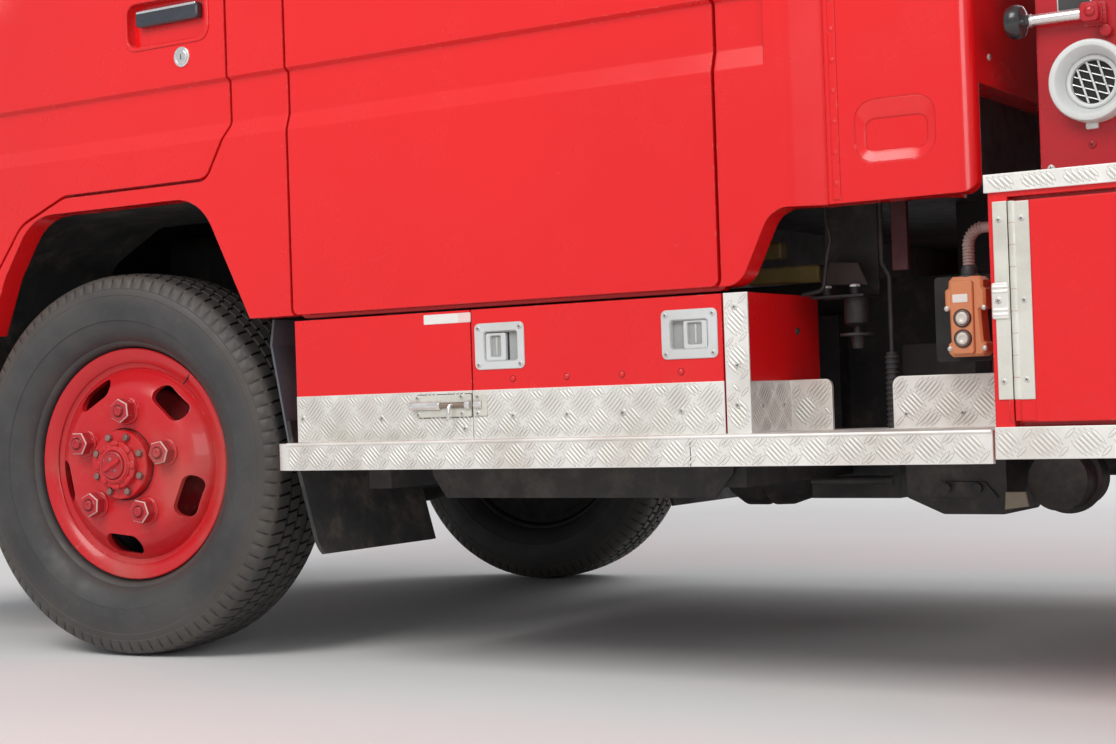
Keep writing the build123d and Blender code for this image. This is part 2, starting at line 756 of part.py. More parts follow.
def rear_rims():
    """Both rims, their shared hub and nuts. Outward is +Y, the middle of the twins is the origin."""
    half_gap = twin_spacing / 2
    dish = turned([(half_gap - 8, bead_radius - 15), (half_gap + 2, bead_radius - 15), (14, 138), (10, 60),
                   (0, 60), (0, 142)])
    rim = Pos(0, half_gap, 0) * turned(RIM_SECTION)
    outer = rim + dish
    inner = mirrored(outer)
    hub = rod_y(0, -130, 60, 0, 64) + rod_y(0, 59, 96, 0, 52)
    drum = rod_y(0, -130, -40, 0, drum_radius)
    whole = joined([outer, inner, hub, drum])
    for cutter in hand_holes(-110, 110):
        whole = whole - (cutter - rod_y(0, -140, -38, 0, drum_radius + 2))
    whole = whole - rod_y(0, -200, 40, 0, spindle_radius + spindle_play)
    return joined([whole] + wheel_nuts(9, 1))


for side_name, flipped in SIDES:
    side = -1 if flipped else 1
    flip = mirrored if flipped else (lambda solid: solid)
    place = Pos(rear_axle_x, side * rear_hub_y, hub_z)
    keep(f"rims_rear_{side_name}", place * flip(rear_rims()))
    keep(f"tyres_rear_{side_name}", Pos(0, twin_spacing / 2, 0) * place * tyre(),
         Pos(0, -twin_spacing / 2, 0) * place * tyre())

# Engine with gearbox and radiator
engine = block(1380, 2120, -270, 270, 560, 870)
gearbox = block(1240, 1380, -110, 110, 420, 660)
radiator = block(2440, 2500, -290, 290, 440, 672)
keep("engine", fillet(engine.edges().filter_by(Axis.X), 40), gearbox, radiator)

# Exhaust, waisted muffler, tanks and valves under the frame
# Muffler section: position along x, radius
MUFFLER_SECTION = [(muffler_rear_x, exhaust_radius), (552, 60), (600, 75), (632, 76), (642, 66), (652, 76),
                   (690, 76), (716, 60), (muffler_front_x, exhaust_radius)]
muffler_face = outline([(muffler_rear_x, 0)] + MUFFLER_SECTION + [(muffler_front_x, 0)])
muffler = Pos(0, exhaust_y, exhaust_z) * revolve(muffler_face, Axis.X, 360)
front_pipe = rod_x(muffler_front_x, 1400, exhaust_y, exhaust_z, exhaust_radius)
tail_pipe = rod_x(-300, muffler_rear_x, exhaust_y, exhaust_z, exhaust_radius)
hanger = block(655, 685, exhaust_y - 10, exhaust_y + 10, 390, rail_bottom + rail_wall) - muffler
valve_box = block(308, 475, rail_y - 28, rail_y + 28, 279, rail_bottom)
air_pipe = rod_x(290, 440, 450, board_bottom_z - bracket_depth - 8, 8)
side_tank_face = outline([(223, 292), (161, 265), (56, 265), (56, 540), (223, 540)], [6, 10, 6, 6, 6])
side_tank = side_prism(side_tank_face, side_tank_inner_y, side_tank_y)
side_tank_arm = block(110, 170, rail_face_y, side_tank_inner_y, rail_bottom, 540)
clamp_face = outline([(182, 292), (161, 317), (90, 317), (69, 292)])
clamp_plate = side_prism(clamp_face, side_tank_y, side_tank_y + 4)
clamp_bolts = [rod_y(bolt_x, side_tank_y + 4, side_tank_y + 12, 307, 8) for bolt_x in (153, 101)]
chamber = rod_y(chamber_x, side_tank_inner_y, 520, chamber_z, 48) + rod_y(chamber_x, 455, 467, chamber_z, 56)
chamber_arm = block(chamber_x - 15, chamber_x + 15, rail_face_y, side_tank_inner_y, chamber_z, 560)
tank_half_width = rail_face_y - rail_width
fuel_tank = block(rear_axle_x - 1110, rear_axle_x - 590, -tank_half_width, tank_half_width, 330,
                  rail_bottom + 40)
fuel_tank = fillet(fuel_tank.edges().filter_by(Axis.Y), 50)

# Behind the opening above the running board: filter on its bracket, hose on its pipe, and a bent stay
deck_low_z = bench_deck_z - floor_thickness
filter_plate = block(filter_x - 24, filter_x + 66, filter_y - 35, filter_y + 30, filter_top_z,
                     filter_top_z + 4)
filter_hanger = block(filter_x - 24, filter_x + 66, filter_y - 39, filter_y - 35, filter_top_z,
                      deck_low_z)
# Filter section: radius, depth below the plate
FILTER_SECTION = [(20, 0), (20, 40), (15, 44), (6, 44), (6, 56), (28, 56), (28, 60), (12, 60), (9, 80)]
filter_outline = [(0, 0)] + [(radius, -depth) for radius, depth in FILTER_SECTION] + [(0, -80)]
filter_face = Plane.XZ * outline(filter_outline)
filter_body = Pos(filter_x, filter_y, filter_top_z) * revolve(filter_face, Axis.Z, 360)
filter_bolts = [rod_z(bolt_x, filter_y + 15, filter_top_z + 4, filter_top_z + 16, 7)
                for bolt_x in (filter_x - 4, filter_x + 44)]
hose_top_z = 526
hose = rod_z(hose_x, hose_y, board_top_z, hose_top_z, 9.5)
hose_pipe = bent_bar([(hose_x, hose_y, hose_top_z), (hose_x, hose_y, 645), (hose_x + 12, hose_y, 664),
                      (hose_x + 12, hose_y, deck_low_z)], 12, 4)
stay = bent_bar([(314, stay_y, 621), (278, stay_y, 626), (270, stay_y, 680), (263, stay_y, 705),
                 (270, stay_y, 738), (270, stay_y, deck_low_z)], [12, 20, 20, 30], 3.5)
keep("exhaust_and_tank", muffler, front_pipe, tail_pipe, hanger, valve_box, air_pipe, side_tank,
     side_tank_arm, clamp_plate, clamp_bolts, chamber, chamber_arm, fuel_tank, filter_plate, filter_hanger,
     filter_body, filter_bolts, hose, hose_pipe, stay)

# Bumper
bumper_plan = outline(
    [(cab_front_x - 140, 880), (cab_front_x - 60, 868), (bumper_front_x - 14, 640), (bumper_front_x, 0),
     (bumper_front_x - 14, -640), (cab_front_x - 60, -868), (cab_front_x - 140, -880),
     (cab_front_x - 140, -850), (cab_front_x - 55, -600), (cab_front_x - 55, 600), (cab_front_x - 140, 850)],
    [3, 60, 200, 900, 200, 60, 3, 3, 60, 60, 3],
)
bumper = plan_prism(bumper_plan, 345, 575)
bumper = bumper - end_prism(outline([(-250, 390), (250, 390), (250, 450), (-250, 450)], 20), 2700, 2900)
bumper = bumper - outer_volume
keep("front_bumper", bumper.solids().sort_by(SortBy.VOLUME)[-1])

# Lamps
tail_lamps = []
for lamp_side in (1, -1):
    tail_lamps.append(block(rail_rear_x - 128, rail_rear_x - 98, lamp_side * 620 - 130, lamp_side * 620 + 130,
                            560, 660))
keep("lamps", headlamp, mirrored(headlamp), tail_lamps)

# Mirrors on the front doors
mirror_low = Vector(2300, 948, 1285)
mirror_high = Vector(2226, 948, 1640)
mirror_plane = Plane(origin=mirror_low, z_dir=mirror_high - mirror_low)
mirror_arm = extrude(mirror_plane * Circle(10), amount=(mirror_high - mirror_low).length)
mirror_arm = mirror_arm + rod_y(mirror_low.X, cab_half_width - 1, mirror_low.Y, mirror_low.Z + 12, 8)
mirror_arm = mirror_arm + rod_y(mirror_high.X + 3, 838, mirror_low.Y, mirror_high.Z - 12, 8)
mirror_head = fillet(block(2243, 2283, 950, 1105, 1330, 1600).edges(), 15)
mirror_left = mirror_arm + mirror_head - front_door
keep("mirror_left", mirror_left)
keep("mirror_right", mirrored(mirror_left))

# Light bar and siren on the cab roof
bar_face = outline([(light_bar_x - 150, cab_roof_z + 24), (light_bar_x + 150, cab_roof_z + 24),
                    (light_bar_x + 120, cab_roof_z + 150), (light_bar_x - 120, cab_roof_z + 150)], 30)
light_bar = side_prism(bar_face, -620, 620)
feet = []
for foot_y in (-480, 480):
    feet.append(block(light_bar_x - 90, light_bar_x + 90, foot_y - 40, foot_y + 40, cab_roof_z - 60,
                      cab_roof_z + 30) - outer_volume)
light_bar = light_bar + [foot.solids().sort_by(Axis.Z)[-1] for foot in feet]
keep("light_bar", light_bar)

# Running boards
board_face = outline([(board_rear_x, board_inner_y), (board_front_x, board_inner_y),
                      (board_front_x, half_width), (board_rear_x, half_width)], [2, 2, 38, 2])
board = plan_prism(board_face, board_bottom_z, board_top_z)
board = board - block(board_rear_x - 1, board_front_x - 12, board_inner_y - 1, half_width - 10,
                      board_bottom_z - 1, board_top_z - 8)
board = board + block(board_rear_x, board_front_x - 12, board_inner_y, 800, board_bottom_z, board_top_z - 7)
guard_face = outline([(1000, board_bottom_z), (998, 345), (970, 306), (448, 306), (414, 345),
                      (412, board_bottom_z)])
guard = side_prism(guard_face, 792, 800)
keep("running_boards", both_sides(board))

# Mudguards and flaps
guard_profile = outline([(1330, 632), (1338, 586), (1302, 405), (1298, 405), (1333, 586), (1325, 632)])
front_guard = side_prism(guard_profile, 480, 826)
guard_arm = block(1300, 1332, rail_face_y, 490, 556, 600) - side_prism(guard_profile, 479, 830)
arc_radius = bed_floor_z - hub_z
rear_ring = rod_y(rear_axle_x, 500, side_locker_face_y, hub_z, arc_radius)
rear_ring = rear_ring - rod_y(rear_axle_x, 490, side_locker_face_y + 9, hub_z, arc_radius - 5)
rear_guard = rear_ring & block(rear_axle_x - 600, rear_axle_x + 600, 400, 1000, hub_z + 60, 900)
keep("guards", both_sides(front_guard), both_sides(rear_guard))
members.extend(both_sides(guard_arm) + both_sides(guard))
flap_section = outline([(1305, 446), (1297, 404), (1240, 205), (1232, 207), (1289, 406), (1297, 448)])
flap_face = outline([(470, 190), (826, 190), (826, 460), (470, 460)], [1, 45, 1, 1])
front_flap = side_prism(flap_section, 480, 826) & end_prism(flap_face, 1200, 1340)
rear_flap = block(rear_axle_x - 458, rear_axle_x - 450, 490, 935, 200, bed_floor_z)
liner_path = FilletPolyline((1330, 640), (1398, 704), (1470, liner_top_z), (1940, liner_top_z), (2080, 798),
                            (2156, 660), (2160, 560), radius=[60, 60, 80, 60, 30])
liner = side_prism(trace(liner_path, liner_thickness), 480, 824)
liner_stays = []
for stay_x in (1560, 1900):
    stay_block = block(stay_x - 15, stay_x + 15, 560, 600, liner_top_z + liner_thickness / 2,
                       seat_deck_z - floor_thickness)
    liner_stays.extend(both_sides(stay_block))
keep("mudflaps", both_sides(front_flap), both_sides(rear_flap), both_sides(liner), liner_stays)

keep("chassis_frame", rails, members)

# Locker below the rear door: shell with a fixed front panel and a flap that folds down
locker_shell = block(flap_locker_rear_x, board_front_x, flap_locker_inner_y, flap_locker_face_y,
                     board_top_z + 1, flap_locker_top_z)
locker_shell = locker_shell - block(flap_locker_rear_x + sheet, board_front_x - sheet,
                                    flap_locker_inner_y + sheet, flap_locker_face_y - sheet,
                                    board_top_z + 1 + sheet, flap_locker_top_z - sheet)
flap_seat = block(flap_rear_x, flap_split_x, flap_locker_face_y - sheet, 900, 300, 700)
locker_shell = locker_shell - flap_seat
keep("flap_lockers", both_sides(locker_shell))
flap = block(flap_rear_x + 3, flap_split_x - gap / 2, flap_locker_face_y - sheet + 1, flap_locker_face_y,
             flap_low_z, flap_locker_top_z)
# Latch pockets: x and z of the middle
LATCHES = [(800, 562), (445, 566)]
latch_half = 35
latch_half_height = 25.5
for latch_x, latch_z in LATCHES:
    flap = flap - block(latch_x - latch_half, latch_x + latch_half, flap_locker_face_y - 8, 900,
                        latch_z - latch_half_height, latch_z + latch_half_height)
keep("flap_left", flap)
keep("flap_right", mirrored(flap))

# Side locker below the pump bay: shell and hinged door
locker_z0 = side_locker_bottom_z
locker_z1 = side_locker_top_z
side_locker = block(side_locker_rear_x, board_rear_x - 4, side_locker_inner_y, side_locker_face_y, locker_z0,
                    locker_z1)
side_locker = side_locker - block(side_locker_rear_x + sheet, board_rear_x - 4 - sheet,
                                  side_locker_inner_y + sheet, side_locker_face_y - sheet - 20,
                                  locker_z0 + sheet, locker_z1 - sheet)
door_x0 = side_locker_rear_x + 25
door_x1 = hinge_x - 3
door_z0 = 418
door_z1 = 720
side_locker = side_locker - block(door_x0 + 15, door_x1 - 15, 850, 960, door_z0 + 15, door_z1 - 15)
side_locker = side_locker - block(door_x0 - gap, hinge_x + gap, side_locker_face_y - 20, 960, door_z0 - gap,
                                  door_z1 + gap)
fixed_leaf = block(hinge_x + gap, board_rear_x - 25, side_locker_face_y, side_locker_face_y + 2, door_z0 + 2,
                   door_z1 - 2)
keep("side_lockers", both_sides(side_locker + fixed_leaf))
locker_door = block(door_x0, door_x1, side_locker_face_y - 15, side_locker_face_y - 1, door_z0, door_z1)
locker_door = locker_door + rod_z(hinge_x, side_locker_face_y, door_z0 + 2, door_z1 - 2, hinge_radius)
locker_door = locker_door + block(door_x1 - 45, hinge_x, side_locker_face_y - 3, side_locker_face_y + 1,
                                  door_z0 + 2, door_z1 - 2)
keep("side_locker_door_left", locker_door)
keep("side_locker_door_right", mirrored(locker_door))

# Tread-plate trim: corner post, kick plates and the top edge of the side locker
post_side = block(flap_locker_rear_x - tread_sheet, flap_rear_x - 2, flap_locker_face_y,
                  flap_locker_face_y + tread_sheet, board_top_z, flap_locker_top_z)
post_rear = block(flap_locker_rear_x - tread_sheet, flap_locker_rear_x, kick_plate_y - 6, flap_locker_face_y,
                  board_top_z, kick_top_z)
post_x = flap_locker_rear_x - tread_sheet
kick_rear_x = board_rear_x + 45
kick_front_face = outline([(hose_gap_front_x, board_top_z), (post_x, board_top_z), (post_x, kick_top_z),
                           (hose_gap_front_x, kick_top_z)], [1, 1, 1, 12])
kick_rear_face = outline([(kick_rear_x, board_top_z), (hose_gap_rear_x, board_top_z),
                          (hose_gap_rear_x, kick_top_z), (kick_rear_x, kick_top_z)], [1, 1, 14, 1])
kick_front = side_prism(kick_front_face, kick_plate_y - 6, kick_plate_y)
kick_rear = side_prism(kick_rear_face, kick_plate_y - 6, kick_plate_y)
top_trim = block(side_locker_rear_x, board_rear_x, side_locker_inner_y, half_width, locker_z1, locker_z1 + 3)
top_trim = top_trim + block(side_locker_rear_x, board_rear_x, side_locker_face_y, half_width,
                            locker_z1 - trim_height, locker_z1 + 1)
low_trim = block(side_locker_rear_x, board_rear_x - 4, side_locker_face_y, half_width, locker_z0, 412)
keep("tread_trim", both_sides(post_side), both_sides(post_rear), both_sides(kick_front),
     both_sides(kick_rear), both_sides(top_trim), both_sides(low_trim))

# Pump bay: cabinet with a panel on each side, pump, inlets, outlets and valve levers
cabinet = block(pump_cabinet_rear_x, pump_cabinet_front_x, -pump_panel_y, pump_panel_y, locker_z1 + 3,
                pump_cabinet_top_z)
cabinet = cabinet - block(pump_cabinet_rear_x + 4, pump_cabinet_front_x - 4, 4 - pump_panel_y,
                          pump_panel_y - 4, locker_z1 - 20, pump_cabinet_top_z - 4)
keep("pump_cabinet", cabinet)
pump_rear_x = pump_cabinet_rear_x + 130
pump_front_x = pump_cabinet_front_x - 105
pump_block = block(pump_rear_x, pump_front_x, -200, 200, rail_top, 1000)
pump_block = fillet(pump_block.edges().filter_by(Axis.Y), 80)
pump_base = block(pump_rear_x, pump_front_x, -rail_y, rail_y, rail_top, rail_top + 20)
keep("pump", pump_block + pump_base)
inlet = rod_y(inlet_x, pump_panel_y, pump_panel_y + inlet_length, inlet_z, inlet_radius)
inlet = inlet - rod_y(inlet_x, pump_panel_y + inlet_wall, pump_panel_y + inlet_length + 5, inlet_z,
                      inlet_bore)
fittings = both_sides(inlet)
for outlet_x in (pump_cabinet_rear_x + 350, pump_cabinet_rear_x + 170):
    outlet = rod_y(outlet_x, pump_panel_y, pump_panel_y + 20, outlet_z, 48)
    outlet = outlet + rod_y(outlet_x, pump_panel_y + 10, pump_panel_y + 20 + outlet_length, outlet_z,
                            outlet_radius)
    fittings.extend(both_sides(outlet))
keep("pump_fittings", fittings)
lever_foot = block(-185, -150, pump_panel_y, pump_panel_y + 30, lever_z - 18, lever_z + 18)
lever = lever_foot + rod_x(-165, -75, pump_panel_y + 18, lever_z, 6)
knob = rod_x(-88, -59, pump_panel_y + 22, lever_z, 24)
lever = lever + fillet(knob.edges().filter_by(GeomType.CIRCLE), 9)
keep("valve_levers", both_sides(lever))

# Hose bed
bed = block(bed_rear_x, bed_front_x, -bed_half_width, bed_half_width, bed_floor_z, bed_top_z)
bed_inner_y = bed_half_width - bed_wall
bed = bed - block(bed_rear_x - 5, bed_front_x - bed_wall, -bed_inner_y, bed_inner_y, bed_floor_z + bed_wall,
                  bed_top_z + 5)
bed = bed + block(bed_rear_x, bed_rear_x + bed_wall, -bed_half_width, bed_half_width, bed_floor_z, 1150)
keep("hose_bed", bed)

# Lockers behind the rear wheels
tail_locker = block(bed_rear_x, rear_axle_x - 470, 560, 930, 440, bed_floor_z - 1)
tail_locker = fillet(tail_locker.edges().filter_by(Axis.Y), 15)
keep("tail_lockers", both_sides(tail_locker))

# Rear step
rear_step = block(rear_end_x, rail_rear_x - 60, -800, 800, 505, 530)
rear_step = rear_step + block(rear_end_x, rear_end_x + 15, -800, 800, 440, 530)
rear_step = rear_step - block(rear_end_x + 15, rail_rear_x, -60, 60, 500, 540)
lamp_back = block(rail_rear_x - 98, rail_rear_x - 86, -780, 780, 525, 700)
keep("rear_step", rear_step + lamp_back)

# Ladder and its rack
stiles = []
for stile_side in (1, -1):
    stile_y = ladder_y + stile_side * ladder_half_width
    stiles.append(block(ladder_front_x - ladder_length, ladder_front_x, stile_y - 14, stile_y + 14,
                        ladder_z, ladder_z + 70))
for rung in range(12):
    rung_x = ladder_front_x - 150 - rung * 300
    stiles.append(rod_y(rung_x, ladder_y - ladder_half_width, ladder_y + ladder_half_width, ladder_z + 35,
                        14))
keep("ladder", joined(stiles))
rack = []
for rack_x in (rear_axle_x + 370, rail_rear_x):
    for rack_side in (1, -1):
        rack.append(rod_z(rack_x, rack_side * rack_y, bed_top_z, ladder_z, 20))
    rack.append(rod_y(rack_x, -rack_y, rack_y, ladder_z - 18, 18))
for rail_side in (1, -1):
    rack.append(rod_x(rail_rear_x, rear_axle_x + 370, rail_side * rack_y, 1800, 15))
keep("ladder_rack", joined(rack))

# Pendant control with its bracket and lead
pendant_depth = 40
pendant_x = (pendant_rear_x + pendant_front_x) / 2
pendant = block(pendant_rear_x, pendant_front_x, pendant_y - pendant_depth, pendant_y, 512, pendant_top_z)
pendant = fillet(pendant.edges().filter_by(Axis.Y), 10)
for button_z in (571, 541):
    pendant = pendant + rod_y(30, pendant_y - 1, pendant_y + 6, button_z, 11)
keep("pendant", pendant)
lead_y = pendant_y - pendant_depth / 2
lead = bent_bar([(pendant_x, lead_y, pendant_top_z), (pendant_x, lead_y, 702), (-24, lead_y, 700),
                 (-44, lead_y, 664), (board_rear_x - 4, lead_y, 664)], [26, 20, 10], 8)
keep("pendant_lead", lead)
bracket_y = pendant_y - pendant_depth
bracket = block(-8, 87, bracket_y - 3, bracket_y, 506, 633)
bracket = bracket + block(18, 42, bracket_y - 9, bracket_y - 3, board_top_z, 530)
keep("pendant_bracket", bracket)

os.makedirs("parts", exist_ok=True)
for name, solids in nodes.items():
    shape = solids[0] if len(solids) == 1 else Compound(children=solids)
    export_step(shape, os.path.join("parts", name + ".step"))
print(len(nodes), "nodes")
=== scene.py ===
"""Looks of the small double-cab fire pumper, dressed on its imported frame.

Sizes below are in millimetres in the row frame and become metres when a piece is built.
"""
import json
from math import copysign, cos, exp, pi, radians, sin, sqrt

import bpy
from mathutils import Matrix, Vector
from mathutils.bvhtree import BVHTree


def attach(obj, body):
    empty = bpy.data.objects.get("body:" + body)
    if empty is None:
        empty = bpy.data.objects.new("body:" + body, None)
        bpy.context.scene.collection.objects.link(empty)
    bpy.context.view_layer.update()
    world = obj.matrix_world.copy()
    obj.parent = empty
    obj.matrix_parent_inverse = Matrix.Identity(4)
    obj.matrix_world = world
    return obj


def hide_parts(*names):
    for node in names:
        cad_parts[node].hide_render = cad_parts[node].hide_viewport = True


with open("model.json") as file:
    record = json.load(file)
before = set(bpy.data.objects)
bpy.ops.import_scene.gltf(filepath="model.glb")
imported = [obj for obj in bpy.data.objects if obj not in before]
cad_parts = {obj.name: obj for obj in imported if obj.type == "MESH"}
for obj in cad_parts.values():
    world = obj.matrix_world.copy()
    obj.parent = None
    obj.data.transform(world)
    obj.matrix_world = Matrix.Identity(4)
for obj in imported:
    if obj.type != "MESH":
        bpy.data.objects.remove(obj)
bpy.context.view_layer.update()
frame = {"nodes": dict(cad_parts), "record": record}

MM = 0.001
ROW_FRAME = Matrix.Identity(4)

# Camera, fitted to the photograph
CAMERA_PLACE = (-0.938165, 3.422439, 0.473234)
CAMERA_TURNS = ((pi + 0.5674798, "Z"), (pi / 2 + 0.0135293, "X"), (-0.0337537, "Z"))
CAMERA_LENS = 60.33


def added(name, data):
    """New object in the scene."""
    obj = bpy.data.objects.new(name, data)
    bpy.context.scene.collection.objects.link(obj)
    return obj


def axes_at(place, u, v, w):
    return Matrix.Translation(place) @ Matrix((u, v, w)).transposed().to_4x4()


def make_camera():
    data = bpy.data.cameras.new("camera")
    data.sensor_width = 36
    data.lens = CAMERA_LENS
    data.clip_end = 200
    camera = added("camera", data)
    camera.matrix_world = Matrix.Translation(CAMERA_PLACE)
    for angle, axis in CAMERA_TURNS:
        camera.matrix_world @= Matrix.Rotation(angle, 4, axis)
    bpy.context.scene.camera = camera


make_camera()
bpy.context.scene.view_settings.view_transform = "Standard"

# Materials
DUST = (0.33, 0.27, 0.2)
CHIPPED = (0.72, 0.5, 0.46)
EDGE = 0.002


class Look:
    """One material and the nodes that feed its shader. A noise is given by scale, detail and roughness."""

    def __init__(self, name, settings):
        self.mat = bpy.data.materials.new(name)
        self.mat.use_nodes = True
        self.tree = self.mat.node_tree
        self.shader = self.tree.nodes["Principled BSDF"]
        for key, value in settings.items():
            self.shader.inputs[key].default_value = value
        self.place = self.node("TexCoord").outputs["Object"]

    def node(self, kind, inputs=None, **props):
        node = self.tree.nodes.new("ShaderNode" + kind)
        for key, value in props.items():
            setattr(node, key, value)
        for key, value in (inputs or {}).items():
            self.feed(node.inputs[key], value)
        return node

    def feed(self, socket, value):
        if isinstance(value, bpy.types.NodeSocket):
            self.tree.links.new(value, socket)
        else:
            socket.default_value = (*value, 1) if socket.type == "RGBA" else value

    def noise(self, scale, detail, rough=0.55):
        return self.node("TexNoise", {"Vector": self.place, "Scale": scale, "Detail": detail,
                                      "Roughness": rough}).outputs[0]

    def span(self, value, low, high, start=0, end=1):
        """Value from low to high becomes start to end, held at both ends."""
        return self.node("MapRange", {"Value": value, "From Min": low, "From Max": high, "To Min": start,
                                      "To Max": end}, interpolation_type="SMOOTHSTEP").outputs[0]

    def patches(self, noise, *limits):
        return self.span(self.noise(*noise), *limits)

    def math(self, kind, a, b):
        return self.node("Math", {0: a, 1: b}, operation=kind).outputs[0]

    def times(self, a, b):
        return self.math("MULTIPLY", a, b)

    def mix(self, share, a, b):
        return self.node("Mix", {0: share, 6: a, 7: b}, data_type="RGBA").outputs[2]

    def soft_edge(self, radius):
        """Normal rounded over edges."""
        return self.node("Bevel", {"Radius": radius}, samples=4).outputs[0]

    def edge(self, radius):
        """1 on edges, 0 on open faces."""
        true_normal = self.node("NewGeometry").outputs["True Normal"]
        dot = self.node("VectorMath", {0: self.soft_edge(radius), 1: true_normal}, operation="DOT_PRODUCT")
        return self.span(self.math("SUBTRACT", 1, dot.outputs["Value"]), 0.02, 0.25)

    def bump(self, noise, distance, strength, normal=None):
        inputs = {"Height": self.noise(*noise), "Distance": distance, "Strength": strength}
        if normal:
            inputs["Normal"] = normal
        return self.node("Bump", inputs).outputs[0]

    def finish(self, colour, rough=None, normal=None):
        for name, value in (("Base Color", colour), ("Roughness", rough), ("Normal", normal)):
            if value is not None:
                self.feed(self.shader.inputs[name], value)
        return self.mat


def paint_look(name, colour, deep, coat, dust, wear, edge_radius, shine):
    """Gloss paint on sheet metal: slightly uneven tone, fine ripple, road dust low down and chipped edges."""
    look = Look(name, {"Coat Weight": coat, "Coat Roughness": 0.05, "Specular IOR Level": 0.4})
    colours = look.mix(look.patches((0.9, 3, 0.5), 0.36, 0.64), colour, deep)
    height = look.node("SeparateXYZ", {0: look.place}).outputs["Z"]
    specks = look.patches((60, 7, 0.75), 0.56, 0.76)
    spread = look.math("MAXIMUM", specks, look.patches((4.6, 5, 0.6), 0.5, 0.72, 0, 0.6))
    dirt = look.times(look.times(look.span(height, 0.62, 0.3), spread), dust)
    colours = look.mix(dirt, colours, DUST)
    chips = look.times(look.edge(edge_radius), look.patches((75, 4, 0.6), 0.58, 0.64))
    colours = look.mix(look.times(chips, wear), colours, CHIPPED)
    rough = look.math("ADD", look.patches((7, 5, 0.6), 0.3, 0.75, shine - 0.04, shine + 0.06), look.times(dirt, 0.5))
    ripple = look.bump((1.9, 2, 0.4), 0.012, 0.35, look.soft_edge(edge_radius))
    return look.finish(colours, rough, look.bump((420, 2, 0.5), 0.0002, 0.2, ripple))


def metal_look(name, colour, dull, rough, metal, scratch=0.12):
    """Bare metal with a fine grain, dull patches and brighter edges."""
    look = Look(name, {"Metallic": metal})
    colours = look.mix(look.patches((6.5, 6, 0.65), 0.42, 0.7), colour, dull)
    colours = look.mix(look.times(look.patches((160, 4, 0.6), 0.5, 0.8), 0.35), colours, dull)
    colours = look.mix(look.times(look.edge(EDGE), 0.6), colours, tuple(min(1, c * 1.12) for c in colour))
    rough_value = look.patches((24, 6, 0.7), 0.3, 0.75, rough - 0.08, rough + 0.14)
    return look.finish(colours, rough_value, look.bump((240, 4, 0.65), 0.0004, scratch, look.soft_edge(EDGE)))


def plain_look(name, colour, other, rough, dust, grain=260, depth=0.0003, coat=0):
    """Matt plastic, rubber or dull paint with a grain and dust lying in it."""
    look = Look(name, {"Coat Weight": coat})
    colours = look.mix(look.patches((4.5, 5, 0.6), 0.35, 0.68), colour, other)
    colours = look.mix(look.times(look.patches((13, 7, 0.7), 0.46, 0.74), dust), colours, DUST)
    rough_value = look.patches((30, 5, 0.6), 0.3, 0.75, rough - 0.08, rough + 0.1)
    return look.finish(colours, rough_value, look.bump((grain, 4, 0.6), depth, 0.5, look.soft_edge(EDGE)))


def glass_look(name, tint, rough, clear):
    look = Look(name, {"Transmission Weight": clear, "IOR": 1.45})
    smear = look.patches((7, 6, 0.7), 0.45, 0.8, rough, rough + 0.09)
    colours = look.mix(look.patches((2.5, 3), 0.4, 0.7, 0, 0.15), tint, tuple(c * 0.8 for c in tint))
    return look.finish(colours, smear, look.bump((1.5, 1), 0.002, 0.15))


def tyre_look():
    """Weathered rubber: brown bloom on the shoulder, grey dusty wall, dark tread."""
    look = Look("tyre_rubber", {})
    ring, deep = (look.node("Attribute", attribute_name=name).outputs["Fac"] for name in ("ring", "deep"))
    colours = look.mix(look.patches((5, 5, 0.6), 0.35, 0.7), (0.036, 0.036, 0.038), (0.06, 0.059, 0.057))
    bloom = look.times(look.span(ring, 0.3, 0.352), look.patches((8, 6, 0.7), 0.3, 0.62, 0.35, 1))
    colours = look.mix(look.times(bloom, 0.7), colours, (0.09, 0.075, 0.06))
    bead = look.times(look.span(ring, 0.262, 0.232), look.patches((9, 5, 0.6), 0.35, 0.65, 0.2, 1))
    colours = look.mix(look.times(bead, 0.5), colours, (0.08, 0.068, 0.055))
    colours = look.mix(look.times(look.span(ring, 0.362, 0.369), 0.6), colours, (0.03, 0.029, 0.028))
    # Groove floors, given by deep, are painted near black as shade
    colours = look.mix(deep, colours, (0.014, 0.014, 0.015))
    specks = look.times(look.patches((65, 7, 0.75), 0.56, 0.74), 0.18)
    colours = look.mix(specks, colours, (0.2, 0.18, 0.15))
    rough = look.patches((16, 5, 0.6), 0.3, 0.7, 0.46, 0.7)
    return look.finish(colours, rough, look.bump((190, 4, 0.65), 0.0006, 0.35))


